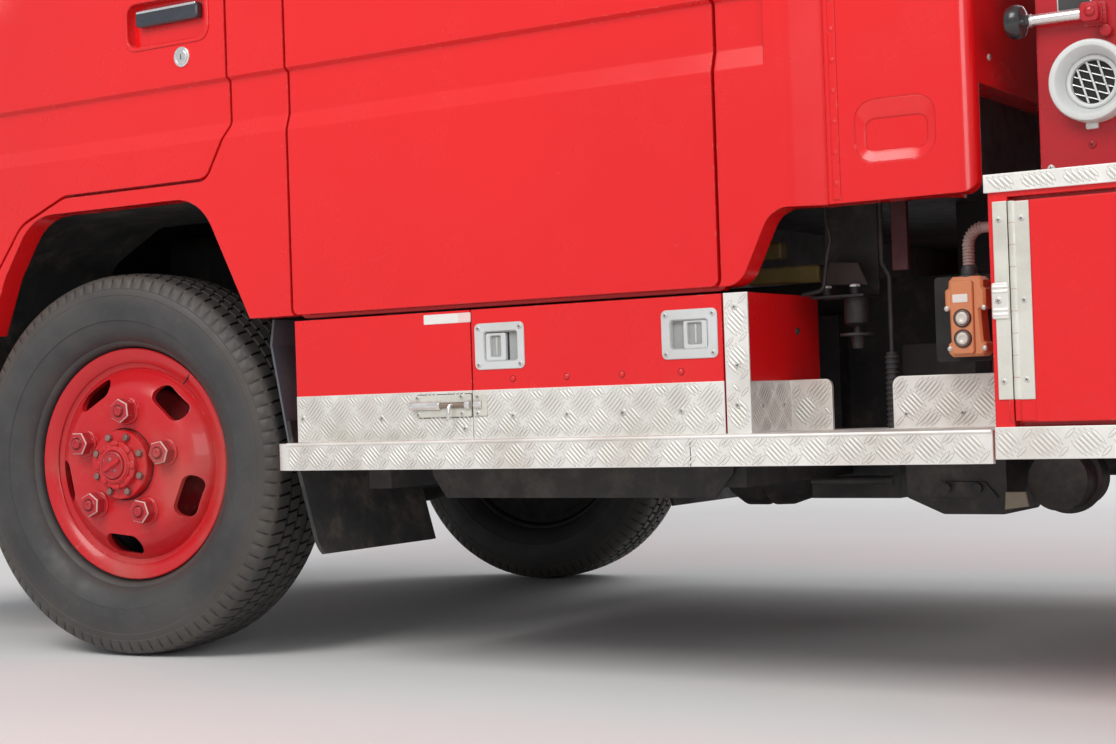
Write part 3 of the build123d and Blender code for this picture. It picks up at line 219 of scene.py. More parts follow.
# Looks. After the name and its one or two colours come, for paint: coat, dust, wear, edge radius, shine;
# for metal: roughness, metallic share, scratches; for plain: roughness, dust, grain and its depth, coat;
# for glass: roughness, clearness
LOOK_ROWS = {
    paint_look: """
red 0.79 0.01 0.012  0.73 0.008 0.01  0.4 0.22 0.25 0.004 0.24
dark_red 0.5 0.01 0.018  0.42 0.008 0.014  0.4 0.22 0.4 0.004 0.24
wheel_red 0.58 0.012 0.018  0.44 0.01 0.014  0.2 0.35 0.5 0.0015 0.32
worn_nut 0.46 0.02 0.028  0.34 0.014 0.02  0.1 0.5 1 0.0026 0.34
wheel_shade 0.26 0.01 0.014  0.17 0.008 0.01  0.1 0.5 0.25 0.001 0.4
nut_edge 0.74 0.5 0.47  0.56 0.24 0.22  0.1 0.3 1 0.003 0.36
""",
    metal_look: """
tread_plate 0.86 0.85 0.81  0.7 0.67 0.61  0.42 0.5
edge_bright 0.88 0.88 0.87  0.72 0.71 0.69  0.26 0.9
hinge_cream 0.7 0.69 0.62  0.56 0.54 0.47  0.42 0.35
screw_steel 0.68 0.67 0.64  0.5 0.48 0.44  0.4 0.55
stud_steel 0.34 0.22 0.19  0.18 0.08 0.07  0.46 0.7
bolt_rod 0.34 0.27 0.22  0.2 0.15 0.12  0.42 0.8
bright_metal 0.8 0.81 0.82  0.6 0.6 0.59  0.28 1
chrome 0.9 0.9 0.91  0.82 0.82 0.83  0.12 1 0.02
mirror_silver 0.9 0.92 0.92  0.86 0.88 0.88  0.09 1 0.01
""",
    plain_look: """
shaded_red 0.05 0.003 0.005  0.034 0.003 0.004  0.6 0.04
tread_dirt 0.46 0.44 0.4  0.34 0.32 0.29  0.6 0.1
shaded_brown 0.038 0.028 0.022  0.028 0.02 0.016  0.7 0.05
inlet_grey 0.66 0.67 0.66  0.58 0.59 0.57  0.38 0.1 90
chassis_black 0.011 0.011 0.012  0.024 0.022 0.02  0.6 0.14
guard_grey 0.105 0.122 0.142  0.075 0.087 0.1  0.45 0.16
flap_rubber 0.022 0.022 0.023  0.038 0.036 0.034  0.7 0.25
trim_black 0.022 0.023 0.025  0.036 0.037 0.039  0.5 0.1
gap_black 0.012 0.012 0.013  0.018 0.017 0.016  0.8 0.06
knob_black 0.016 0.017 0.019  0.026 0.027 0.03  0.24 0.06 260 0.0003 0.4
handle_blue 0.026 0.032 0.042  0.04 0.048 0.06  0.34 0.05 260 0.0003 0.3
seat_cover 0.16 0.16 0.17  0.12 0.12 0.13  0.5 0.08 700 0.0006
white_paint 0.8 0.81 0.8  0.72 0.72 0.7  0.34 0.08 90 0.0003 0.3
latch_paint 0.62 0.64 0.64  0.54 0.55 0.54  0.36 0.12 120 0.0003 0.15
latch_shade 0.36 0.37 0.36  0.26 0.27 0.26  0.45 0.2
label_white 0.8 0.79 0.76  0.74 0.72 0.68  0.4 0.08
label_pink 0.8 0.52 0.5  0.78 0.62 0.58  0.4 0.08
orange_plastic 0.68 0.25 0.105  0.58 0.215 0.095  0.42 0.12 260 0.0003 0.15
lead_rubber 0.33 0.23 0.21  0.24 0.17 0.155  0.6 0.2
olive 0.2 0.155 0.04  0.13 0.1 0.03  0.55 0.3
beige 0.3 0.26 0.19  0.22 0.19 0.14  0.6 0.3
""",
    glass_look: """
window_glass 0.8 0.88 0.86  0.02 1
lamp_lens 0.92 0.94 0.94  0.03 1
lens_clear 0.86 0.88 0.88  0.08 0.6
lens_red 0.62 0.015 0.012  0.08 0.4
lens_amber 0.85 0.26 0.02  0.08 0.45
bulb 0.92 0.9 0.84  0.05 0.7
beacon_red 0.8 0.03 0.02  0.08 0.55
""",
}
LOOKS = {}
for make, table in LOOK_ROWS.items():
    for name, *values in map(str.split, table.strip().splitlines()):
        numbers = [float(value) for value in values]
        tones = [numbers[:3]] if make == glass_look else [numbers[:3], numbers[3:6]]
        LOOKS[name] = make(name, *tones, *numbers[3 * len(tones):])
LOOKS["tyre_rubber"] = tyre_look()

for part in frame["record"]["subparts"]:
    frame["nodes"][part["node"]].data.materials[0] = LOOKS[part["material_slot"]]

# Mesh building. Ways a face looks, as the directions across and up it
LEFT = (-1, 0, 0), (0, 0, 1)
FRONT = (0, 1, 0), (0, 0, 1)
REAR = (0, -1, 0), (0, 0, 1)
TOP = (1, 0, 0), (0, 1, 0)


def spot(origin, across, up):
    """Local frame: a along across, b along up, c along their cross product."""
    u = Vector(across).normalized()
    w = u.cross(Vector(up)).normalized()
    return axes_at(origin, u, w.cross(u), w)


def left(x, y, z):
    """Frame on a face that looks left: a points to the rear, b up, c out."""
    return spot((x, y, z), *LEFT)


def front(x, y, z):
    return spot((x, y, z), *FRONT)


def rear(x, y, z):
    return spot((x, y, z), *REAR)


def moved(a, b, c=0):
    return Matrix.Translation((a, b, c))


def turned(degrees):
    return Matrix.Rotation(radians(degrees), 4, "Z")


def level(outline, c):
    """The outline's points at one height."""
    return [(a, b, c) for a, b in outline]


def oblong(a0, b0, a1, b1):
    return [(a0, b0), (a1, b0), (a1, b1), (a0, b1)]


def rows(text):
    """Rows of numbers from text; anything else stays as it is."""
    return [tuple(map(float, row.split(","))) for row in text.split()] if isinstance(text, str) else text


def corners(a, b):
    return [(-a, -b), (-a, b), (a, -b), (a, b)]


def rounded(width, height, radius, steps=5, centre=(0, 0)):
    """Rectangle with round corners, as a list of points."""
    points = []
    for sx, sy, start in ((1, 1, 0), (-1, 1, 90), (-1, -1, 180), (1, -1, 270)):
        for step in range(steps + 1):
            angle = radians(start + 90 * step / steps)
            points.append((centre[0] + sx * (width / 2 - radius) + radius * cos(angle),
                           centre[1] + sy * (height / 2 - radius) + radius * sin(angle)))
    return points


def circle(radius, sides, start=0):
    return [(radius * cos(start + 2 * pi * i / sides), radius * sin(start + 2 * pi * i / sides))
            for i in range(sides)]


def heading(start, end):
    """Unit vector from start to end, zero where they meet."""
    step = end - start
    return step.normalized() if step.length > 1e-6 else Vector((0, 0))


def shrunk(points, amount):
    """Outline moved inward by amount."""
    points = [Vector(point) for point in points]
    result = []
    for i, here in enumerate(points):
        a = heading(points[i - 1], here)
        b = heading(here, points[(i + 1) % len(points)])
        along = (a + (b if b.length else a)).normalized()
        place = here + Vector((-along.y, along.x)) * amount / max(0.5, abs(a.dot(along)))
        result.append((place.x, place.y))
    return result


class Form:
    """Faces of one piece, in millimetres in the row frame."""

    def __init__(self):
        self.clear()

    def clear(self):
        self.points, self.faces, self.marks = [], [], []

    def add(self, points, faces, mark=0):
        start = len(self.points)
        self.points.extend(Vector(point) for point in points)
        self.faces.extend([start + i for i in face] for face in faces)
        self.marks.extend([mark] * len(faces))

    def rings(self, at, rings, mark=0, closed=False, caps=(True, True)):
        """Skin over rings of equal count, each a list of local points."""
        count, total = len(rings[0]), len(rings)
        faces = []
        for k in range(total if closed else total - 1):
            low, high = k * count, (k + 1) % total * count
            for i in range(count):
                j = (i + 1) % count
                faces.append((low + i, low + j, high + j, high + i))
        if not closed and caps[0]:
            faces.append(tuple(reversed(range(count))))
        if not closed and caps[1]:
            faces.append(tuple(range((total - 1) * count, total * count)))
        self.add([at @ Vector(point) for ring in rings for point in ring], faces, mark)

    def plate(self, at, outline, low, high, bevel=0.6, mark=0):
        """Plate with softened upper edge; the outline runs anticlockwise."""
        self.rings(at, [level(outline, low), level(outline, high - bevel), level(shrunk(outline, bevel), high)], mark)

    def block(self, at, size, low, high, bevel=0.6, mark=0):
        """Plate with round corners; size is what rounded takes."""
        self.plate(at, rounded(*size), low, high, bevel, mark)

    def window(self, at, outer, inner, low, high, bevel, mark=0):
        """Plate with one opening; both outlines have the same count."""
        rings = [level(outer, low), level(outer, high - bevel), level(shrunk(outer, bevel), high),
                 level(shrunk(inner, -bevel), high), level(inner, high - bevel), level(inner, low)]
        self.rings(at, rings, mark, closed=True)

    def lathe(self, at, profile, sides=32, mark=0, caps=(True, True), closed=False):
        """Round form about the local c axis, from rows of radius and c going outward."""
        self.rings(at, [level(circle(r, sides), c) for r, c in rows(profile)], mark, closed, caps)

    def tube(self, path, radius, sides, mark=0):
        """Round bar along a path of points."""
        path = [Vector(point) for point in path]
        rings = []
        guide = Vector((0, 0, 1))
        for i, point in enumerate(path):
            ahead = (path[min(i + 1, len(path) - 1)] - path[max(i - 1, 0)]).normalized()
            if abs(ahead.dot(guide)) > 0.95:
                guide = Vector((1, 0, 0))
            side = ahead.cross(guide).normalized()
            guide = side.cross(ahead).normalized()
            rings.append([point + radius * (a * side + b * guide) for a, b in circle(1, sides)])
        self.rings(ROW_FRAME, rings, mark)

    def placed(self, place):
        """The same faces moved by place, turned inside out where it mirrors."""
        result = Form()
        result.points = [place @ point for point in self.points]
        result.faces = [face[::-1] if place.determinant() < 0 else face for face in self.faces]
        result.marks = list(self.marks)
        return result

    def build(self, name, slot, looks, body="vehicle", replaced=None, sharp=32, sides=("",)):
        """Makes the piece, or one for each side, and clears the form for the next."""
        for side in sides:
            flip = -1 if side == "_right" else 1
            mesh = bpy.data.meshes.new(name + side)
            mesh.from_pydata([(p.x * MM, p.y * MM * flip, p.z * MM) for p in self.points], [],
                             [face[::flip] for face in self.faces])
            for look in looks.split():
                mesh.materials.append(LOOKS[look])
            mesh.polygons.foreach_set("material_index", self.marks)
            mesh.shade_smooth()
            mesh.set_sharp_from_angle(angle=radians(sharp))
            obj = added(name + side, mesh)
            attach(obj, body.replace("_SIDE", side))
            if replaced:
                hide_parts(replaced)
        self.clear()
        return obj

    def both(self, *piece, **options):
        """The piece on the left and its mirrored twin on the right. A body name may hold SIDE."""
        self.build(*piece, **options, sides=("_left", "_right"))


# The form that the pieces are drawn in, one after the other
form = Form()
block, plate, window, lathe, tube = form.block, form.plate, form.window, form.lathe, form.tube
rings, build, both = form.rings, form.build, form.both


def screw(at, radius, rise, mark, cross):
    """Screw head with a cross; both numbers are marks. The pieces give the cross gap_black, painted shade in its
    recess.
    """
    lathe(at, [(radius, -0.5), (radius, rise * 0.4), (radius * 0.8, rise), (radius * 0.4, rise * 1.15)], 16, mark)
    size = radius * 0.55
    for turn in (20, 110):
        plate(at @ turned(turn), oblong(-size, -0.5, size, 0.5), rise, rise * 1.22, 0.1, cross)


def left_screws(y, places, *head):
    for x, z in rows(places):
        screw(left(x, y, z), *head)


def dome(at, radius, height, mark=0, sides=16, form=form):
    """Low round head."""
    profile = [(radius, -0.5), (radius, height * 0.15)]
    for step in range(1, 5):
        angle = radians(18 * step)
        profile.append((radius * cos(angle), height * (0.15 + 0.85 * sin(angle))))
    form.lathe(at, profile, sides, mark)


# Tread plate with raised bars in groups of six, each bar on a thin dark skirt that is dirt and painted shade at its
# foot
TREAD_PITCH = 58
BAR_LENGTH = 44
OUTER_BAR_SHARE = 0.86
BAR_WIDTH = 4.2
BAR_GAP = 6
BAR_RISE = 1.25
BAR_LEAN = radians(46)
BAR_END = 0.28
LEAST_SHARE = 0.4
SKIRT_WIDTH = 0.75
SKIRT_RISE = 0.12
MARGIN = 2


def clipped(a, b, box):
    """The part of the line from a to b inside box, or None where little is left."""
    start, end = 0, 1
    step = b - a
    for axis in (0, 1):
        one, two = ((box[side] - a[axis]) / step[axis] for side in (axis, axis + 2))
        start = max(start, min(one, two))
        end = min(end, max(one, two))
    return (a + step * start, a + step * end) if end - start >= LEAST_SHARE else None


def tread_bars(at, width, height, shift):
    """Raised bars over a rectangle from the frame's origin."""
    half = TREAD_PITCH / 2
    for row in range(-1, int(height / half) + 2):
        along = Vector((cos(BAR_LEAN), (1 if row % 2 else -1) * sin(BAR_LEAN)))
        beside = Vector((-along.y, along.x))
        for column in range(-(row % 2), int(width / half) + 2, 2):
            middle = Vector((shift[0] + column * half, shift[1] + row * half))
            for bar in (-2.5, -1.5, -0.5, 0.5, 1.5, 2.5):
                reach = along * (BAR_LENGTH * (1 if abs(bar) < 2 else OUTER_BAR_SHARE)) / 2
                centre = middle + beside * bar * BAR_GAP
                ends = clipped(centre - reach, centre + reach, (MARGIN, MARGIN, width - MARGIN, height - MARGIN))
                if not ends:
                    continue
                a, b = ends
                top_a, top_b = a * (1 - BAR_END) + b * BAR_END, a * BAR_END + b * (1 - BAR_END)

                def ridge(away, side, c):
                    line = (a - away, top_a - side, top_b - side, b + away, top_b + side, top_a + side)
                    return [at @ Vector((p.x, p.y, c)) for p in line]

                side = beside * BAR_WIDTH / 2
                tops = [at @ Vector((p.x, p.y, BAR_RISE)) for p in (top_a, top_b)]
                form.add(ridge(a * 0, side, 0) + tops,
                         [(0, 1, 6), (1, 2, 7, 6), (2, 3, 7), (3, 4, 7), (4, 5, 6, 7), (5, 0, 6)])
                # The skirt is a darker ring round the bar's foot: dirt, and painted shade where the bar meets the
                # plate
                wide = side * (1 + 2 * SKIRT_WIDTH / BAR_WIDTH)
                form.add(ridge((b - a).normalized() * SKIRT_WIDTH, wide, SKIRT_RISE), [tuple(range(6))], 1)


# Bare tread on CAD plates: origin, way it looks, width, height, shift of the pattern
TREAD_FACES = {
    "board": [((1203, 945, 362), LEFT, 1262, 46, (10, 23)), ((-60, 876, 408), TOP, 1262, 67, (10, 30)),
              ((-60, 732, 408), TOP, 402, 142, (10, 8))],
    "kick_plate": [((342, 730, 409), LEFT, 70, 78, (22, 32)), ((171, 730, 409), LEFT, 186, 78, (30, 34)),
                   ((342, 870, 409), REAR, 144, 78, (20, 30)), ((383, 873, 409), LEFT, 41, 78, (20, 30)),
                   ((383, 873, 489), LEFT, 41, 134, (20, 34))],
    "locker_trim": [((-62, 945, 369), LEFT, 716, 42, (14, 21)), ((-61, 945, 734), LEFT, 717, 23, (18, 11)),
                    ((-780, 802, 758), TOP, 719, 142, (10, 30))],
}
for name, faces in TREAD_FACES.items():
    for origin, way, *pattern in faces:
        tread_bars(spot(origin, *way), *pattern)
    both(f"{name}_tread", "tread_plate", "tread_plate tread_dirt")
tread_bars(spot((-2838, 796, 530), (0, -1, 0), (1, 0, 0)), 1592, 52, (20, 26))
build("rear_step_tread", "tread_plate", "tread_plate tread_dirt")

# Tread strips along the foot of the flap locker: piece, body, rear and front end, screws
STRIP_LOW = 408.2
STRIP_HEIGHT = 81.5
STRIPS = [("flap_strip", "flap_SIDE", 387, 857.6, "777,445.5 672,445.5 568,445.5 462,445.5"),
          ("panel_strip", "vehicle", 858.8, 1239, "874.5,426 1049,447 1225,450")]
for name, body, rear_x, front_x, screws in STRIPS:
    at = left(front_x, 870, STRIP_LOW)
    width = front_x - rear_x
    plate(at, oblong(0, 0, width, STRIP_HEIGHT), -0.5, 2.2, 0.5)
    tread_bars(at @ moved(0, 0, 2.2), width, STRIP_HEIGHT, (12, 26))
    left_screws(872.2, screws, 5.3, 1.8, 2, 3)
    both(name, "tread_plate", "tread_plate tread_dirt screw_steel gap_black", body)

# Screws on the corner post, and red rivets along the flap, each rivet on a dark red ring that is painted shade at its
# foot
left_screws(873, "364,602 361.6,513 364,452", 5.3, 1.8, 0, 1)
for y in (760, 835):
    screw(rear(342, y, 450), 4.6, 1.6, 0, 1)
left_screws(730, "150,430 60,430 5,430", 4, 1.4, 0, 1)
both("post_screws", "bright_metal", "screw_steel gap_black")
for x in (777, 672.5, 569, 462):
    lathe(left(x, 870, 506.5), "6,-0.5 6,0.2 5,0.5", 20, 1)
    dome(left(x, 870, 506.5), 4.8, 3.2)
both("flap_rivets", "red", "red dark_red", "flap_SIDE")

# Board: joint in its face and top, and the worn round along its top edge
block(left(410.6, 945, 362.5), (1.2, 44.5, 0.3, 2, (0.6, 22.2)), -0.3, 0.35, 0.1, 1)
block(spot((410, 876, 408), *TOP), (1.2, 68, 0.3, 2, (0, 34)), -0.3, 0.35, 0.1, 1)
tube([(x, 943.4, 406.4) for x in (-59, 400, 900, 1203)], 3.3, 14)
both("board_edge", "tread_plate", "tread_plate gap_black")

# Flap latches: plate middle, window middle and size, paddle middle and size, recess middle and size
LATCHES = [
    ((801.2, 561.5), (798.5, 561, 67, 50), (810, 560, 40, 46), (810.5, 561, 21, 35)),
    ((445, 564.5), (445.5, 564, 67, 46), (435.5, 563.5, 42, 44), (437, 565, 25, 34)),
]
for number, (middle, *parts) in enumerate(LATCHES):
    at = left(middle[0], 870, middle[1])
    pane_at, grip_at, dip_at = [(middle[0] - part[0], part[1] - middle[1]) for part in parts]
    pane, grip, dip = [part[2:] for part in parts]
    hole = rounded(*pane, 5, 4, pane_at)
    window(at, rounded(98.5, 77, 9, 4), hole, -0.4, 2, 0.7)
    window(at, hole, rounded(pane[0] - 2.4, pane[1] - 2.4, 4, 4, pane_at), -7.6, 0.6, 0.3)
    # The window's floor takes latch_shade, latch paint darkened as painted shade
    plate(at, hole, -7.9, -6.9, 0.2, 1)
    window(at, rounded(*grip, 3.5, 4, grip_at), rounded(*dip, 2.2, 4, dip_at), -6.9, -0.8, 1, 2)
    # The recess floor also takes latch_shade, painted shade
    block(at, (dip[0] + 1, dip[1] + 1, 2.2, 4, dip_at), -6.9, -5.6, 0.2, 1)
    block(at, (3.2, dip[1] - 4, 1.4, 3, dip_at), -5.6, -4.6, 0.3, 3)
    # The thin near-black strip beside the paddle is painted shade in its gap
    block(at, (3.5, pane[1] - 4, 1.5, 3, (grip_at[0] + grip[0] / 2 + 2.2, pane_at[1])), -6.9, -6.4, 0.2, 4)
    for a, b in corners(41.5, 30.5):
        screw(at @ moved(a, b, 2), 4.2, 1.3, 3, 4)
    both(f"flap_latch_{number}", "white_paint",
         "latch_paint latch_shade latch_paint screw_steel gap_black", "flap_SIDE")

# Blank label on the fixed panel
block(left(906.5, 870, 611.7), (97, 16.5, 1.5, 3), -0.2, 0.5, 0.15)
block(left(871, 870, 611.7), (24, 14.5, 1, 3), 0.4, 0.6, 0.1, 1)
both("panel_label", "white_paint", "label_white label_pink")

# Barrel bolt between the fixed panel and the flap
BOLT_Z = 466


def saddle(x, foot, y, rise, half):
    """Section of a strap over the bolt."""
    arc = [(x, y + rise * sin(radians(t)), BOLT_Z + half * cos(radians(t))) for t in range(0, 181, 20)]
    return arc + [(x, foot, BOLT_Z - half), (x, foot, BOLT_Z + half)]


at = left(915.5, 873.4, 465)
block(at, (113, 38, 2.5, 3), -2, 2.6, 0.7)
# A slightly larger near-black plate under the base is a painted shadow outline round it
block(at, (115.6, 40.6, 3.5, 3), -2, -0.9, 0.2, 4)
for ends in ((921, 983), (859.5, 868.5)):
    rings(ROW_FRAME, [saddle(x, 874, 876, 7.4, 7.6) for x in ends], 3)
tube([(x, 877.6, BOLT_Z) for x in (979, 940, 862)], 4.8, 12, 2)
tube([(896, 880, BOLT_Z), (895, 887, 465), (896, 890, 459), (897.5, 889, 441)], 3.1, 10, 3)
dome(left(897.5, 889, 441), 3.4, 2.2, 3)
left_screws(876, "969,479.6 968,451.6 878,479.8 877,451.5", 4.2, 1.5, 1, 4)
both("barrel_bolt", "bright_metal", "hinge_cream screw_steel bolt_rod edge_bright gap_black")
block(left(842, 873.4, 464.5), (27.5, 36.5, 2, 3), -2, 1.6, 0.6)
rings(ROW_FRAME, [saddle(x, 872.6, 874.4, 6.6, 7.2) for x in (838, 852)], 3)
left_screws(875, [(845.6, 479), (845.8, 451)], 4, 1.2, 1, 2)
both("bolt_keeper", "bright_metal", "hinge_cream screw_steel gap_black edge_bright", "flap_SIDE")

# Piano hinge of the side locker door, its catch, the door's skin and its latch
SCREWED = "hinge_cream screw_steel gap_black"
block(left(-80.7, 940, 585), (20.6, 271, 1, 3), -0.3, 2.7, 0.5)
left_screws(942.7, "-79,695 -79,584 -79,474", 3.8, 1.2, 1, 2)
both("hinge_front_leaf", "bright_metal", SCREWED)
block(left(-109.5, 941, 584), (24, 270, 1, 3), -0.3, 1.8, 0.5)
profile = [(5.2, 0)]
for step in range(9):
    low = 30.1 * step
    profile += [(5.2, low + 29.2), (4.5, low + 29.5), (4.5, low + 29.8), (5.2, low + 30.1)]
lathe(moved(-97, 940, 449.5), profile[:-2], 16)
left_screws(942.8, "-111,695 -111,584 -111,476", 3.8, 1.2, 1, 2)
both("hinge_rear_leaf", "bright_metal", SCREWED, "side_locker_door_SIDE")
block(left(-78, 942.7, 584.5), (24, 50, 3.5, 4), -2, 2.6, 1.2)
for b in (-19, -12.5, 12.5, 19):
    block(left(-78, 945.1, 584.5 + b), (22, 3, 1.2, 3), -0.5, 0.9, 0.5)
left_screws(945.3, [(-76, 584.5)], 4.4, 1.6, 1, 2)
both("door_catch", "bright_metal", "tread_plate screw_steel gap_black")
block(left(-425.5, 939.5, 569), (609, 302, 2, 3), 0, 1.7, 0.6)
both("locker_skin", "red", "red", "side_locker_door_SIDE")
at = left(-690, 940.8, 569)
block(at, (70, 96, 9, 4), -0.3, 2, 0.7)
# Its middle block takes latch_shade, latch paint darkened as painted shade
block(at, (42, 66, 6, 4), 1.8, 4, 1.2, 1)
block(at, (24, 8, 3, 3, (0, -20)), 3.8, 5.4, 0.9)
for a, b in corners(28, 40):
    screw(at @ moved(a, b, 2), 4, 1.2, 2, 3)
both("locker_latch", "white_paint", "latch_paint latch_shade screw_steel gap_black",
     "side_locker_door_SIDE")

# Door handles: door, middle x of the handle, whether it is sunk
for door, x, sunk in (("front", 1524.5, True), ("rear", 532, False)):
    at = left(x, 875, 1198.5)
    window(at, rounded(213, 97, 27), rounded(197, 81, 20), -0.6, 3, 1.4)
    # Where the handle is not sunk, a flat near-black plate fills the lip as painted shade of the pocket
    if not sunk:
        block(at, (199, 83, 21), -0.4, 0.5, 0.2, 3)
    low = -14 if sunk else 0
    block(at, (157, 30, 7, 4, (0, 11.5)), low, low + 15.5, 2.6, 1)
    block(at, (151, 5, 2, 3, (0, 23.6)), low + 12, low + 15.8, 0.8, 2)
    key = left(x - 38, 875, 1126)
    lathe(key, "19,-0.4 19,2.2 17.6,3.4 13.6,3.4 13.2,2.4", 28, 2, (True, False))
    lathe(key, "13.4,1 13,3 12.2,3.8", 28, 2)
    # The key slot is a near-black bar, painted shade in the keyway
    block(key, (2.2, 11, 0.8, 2), 3.6, 4, 0.1, 3)
    both(f"handle_{door}", "red", "red handle_blue edge_bright gap_black", f"door_{door}_SIDE")

# Rear extension: hem with spot welds, dish of its recess, screw on the rear wall
plate(left(203, 855, 752), oblong(0, 0, 13, 690), -0.3, 1.3, 0.5)
for step in range(15):
    dome(left(196.5, 856.3, 776 + step * 46), 3.2, 0.8, 0, 12)
rim = rounded(126, 93, 30.5, 6, (-102.5, 849))
floor = rounded(95, 47, 14, 6, (-102.5, 843.5))
rings(left(0, 855, 0), [level(rim, -8.3), level(rim, -0.2), level(floor, -7.4), level(floor, -8.3)], 0, True)
both("extension_hem", "red", "red")
screw(rear(-15, 774, 949), 5, 2.2, 0, 1)
both("extension_screw", "bright_metal", "screw_steel gap_black")

# Pendant control: two half shells, raised face, label, buttons, lugs and gland
SHELL = rows("-45,630 -51,624 -52,614 -57.5,610 -57.5,584 -51,580 -50,535 -54.5,531 -54.5,519 -48,512.6 -3,512.6 "
             "3.5,519 3.5,531 -1,535 -4,580 4.5,584 4.5,610 1,614 1,624 -5,630")
at = left(0, 0, 0)
inset = shrunk(SHELL, 3.4)
rings(at, [level(inset, 761), level(SHELL, 764.4), level(SHELL, 778.4)])
rings(at, [level(SHELL, 779.4), level(SHELL, 793.6), level(inset, 797)])
plate(at, shrunk(SHELL, 1.5), 778, 780, 0.3, 1)
block(at, (34.5, 108, 5, 4, (-30.2, 570)), 796, 800.6, 1.6)
block(at, (23, 12, 1.5, 3, (-32.4, 598)), 800, 800.9, 0.3, 2)
for x, z in ((29.7, 569), (29.9, 539)):
    button = left(x, 800, z)
    lathe(button, "13.6,-0.5 13.6,2.2 12.6,3.2 12,3.2 11.6,1.4", 24, 3, (True, False))
    lathe(button, "11.6,0.4 11.4,3 10.9,3.4 10.3,3 10.1,0.4", 24, 6, (True, False))
    lathe(button, "9.6,0.6 9.4,3.6 8,4.8 5,5 4,4.4", 24, 5)
for x, z in ((54.5, 584), (-2.1, 583), (51.5, 525), (-1.3, 524)):
    dome(left(x, 796, z), 4.2, 3.2, 4)
lathe(moved(24, 780), "15,627 15,632 12,634 12,640 10.5,645 9,646", 20, 3)
build("pendant_shell", "orange_plastic",
      "orange_plastic gap_black label_white trim_black screw_steel hinge_cream stud_steel",
      replaced="pendant")
block(left(39.5, 757, 569.5), (95, 127, 6, 4), 0, 3, 0.6)
block(left(30, 720, 513), (24, 14, 2, 3), 0, 37.5, 0.5)
block(left(30, 714, 464), (24, 113, 2, 3), 0, 6.5, 0.5)
build("pendant_holder", "trim_black", "gap_black", replaced="pendant_bracket")
RIB = "8.1,-1.7 9.3,-0.6 9.3,0.6 8.1,1.7"
for step in range(7):
    lathe(moved(24, 780, 648 + step * 4.6), RIB, 16)
for step in range(8):
    a, b = cos(radians(3 + step * 10.5)), sin(radians(3 + step * 10.5))
    lathe(spot((-2 + 26 * a, 780, 676 + 26 * b), (0, 1, 0), (a, 0, b)), RIB, 16)
build("pendant_lead_ribs", "lead_rubber", "lead_rubber")

# Pump panel: nameplate, boss, lug, bolts and gauges
panel = left(-151.5, 800, 1020)
block(panel, (49, 50, 2, 3), -0.3, 1, 0.3)
block(panel, (45, 46, 1.4, 3), 0.8, 1.4, 0.2, 1)
lathe(left(-196, 800, 959.5), "9,-0.5 9,9 7.5,11 3,11.5", 20, 2)
block(left(-171.5, 800, 829), (17, 9, 2, 3), -0.4, 7, 1.4, 3)
left_screws(800, [(-170, 803)], 5.5, 3, 2, 5)
left_screws(800, [(x, z) for x in (-110, -430, -755) for z in (775, 1060, 1340)], 5.5, 2.4, 4, 5)
for gauge_x in (-330, -470, -610):
    gauge = left(gauge_x, 800, 1150)
    lathe(gauge, "52,-0.5 52,14 49,17 44,17 43,13", 36, 0, (True, False))
    lathe(gauge, "43.5,9 42.5,12 41,12.4", 36, 6)
    for tick in range(11):
        block(gauge @ turned(225 - 27 * tick), (6, 1.4, 0.4, 2, (36, 0)), 12.2, 12.9, 0.1, 1)
    plate(gauge @ turned(215), rows("-8,-1.5 32,-0.4 32,0.4 -8,1.5"), 12.8, 13.6, 0.1, 1)
both("pump_panel_parts", "dark_red",
     "latch_paint trim_black dark_red white_paint screw_steel gap_black label_white")

# Inlet with its strainer, whose wires lie at two angles, and the two outlets with their lugs and nuts
inlet = left(-176, 800, 890)
lathe(inlet, "57.6,-0.5 57.6,26 56.2,29 53,30 48.5,29.4 46,27 37.5,8 36.8,2.6", 48)
lathe(inlet, "37.6,2.2 37.6,10 35,11.5 31.2,9.5 30.4,3", 36, 0, (False, False))
# A near-black disc behind the strainer is painted shade inside the inlet
plate(inlet, circle(36.8, 36), 2, 3, 0.2, 1)
for lean, offsets, radius, depth in ((107, (-15.5, 0, 15.5), 1.7, 6.4), (-20, (-22, -11, 0, 11, 22), 1, 4.6)):
    along = Vector((cos(radians(lean)), sin(radians(lean))))
    beside = Vector((-along.y, along.x))
    for offset in offsets:
        reach = along * sqrt(30.2 ** 2 - offset ** 2)
        ends = [beside * offset + reach * way for way in (-1, 0, 1)]
        tube([inlet @ Vector((p.x, p.y, depth)) for p in ends], radius, 8, 2)
both("inlet_ring", "white_paint", "inlet_grey gap_black edge_bright", replaced="pump_fittings")
for outlet_x in (-420, -600):
    outlet = left(outlet_x, 800, 900)
    lathe(outlet, "48,-0.5 48,17 45,20 34,20 32.5,24 32.5,64 40,66 41,78 38,80 12,80 10,78", 40)
    for turn in (30, 150, 270):
        block(outlet @ turned(turn) @ moved(42, 0, 64), (12, 14, 4, 3), 0, 14, 2)
    for turn in range(0, 360, 60):
        dome(outlet @ turned(turn) @ moved(40.5, 0, 20), 4, 4)
both("outlets", "bright_metal", "edge_bright", replaced="pump_fittings")

# Valve lever: mushroom knob, rod and the red fork it turns in
lathe(front(-59, 822, 985), "7,-35 9,-30 15,-28.5 22,-25 24.4,-19 24.4,-11 21.5,-4 14,-0.8 6,0", 32, 1)
lathe(front(-76, 818, 985), "8,-102 8,-20 9.5,-19 9.5,0", 20)
for y in (805, 826):
    block(left(-180, y, 985), (26, 27, 6, 4), 0, 5, 1.2, 2)
block(left(-180, 800, 985), (34, 34, 5, 4), -0.3, 5, 1.2, 2)
dome(left(-182, 831, 985), 7.5, 5, 2)
both("valve_lever", "bright_metal", "edge_bright knob_black dark_red", replaced="valve_levers")
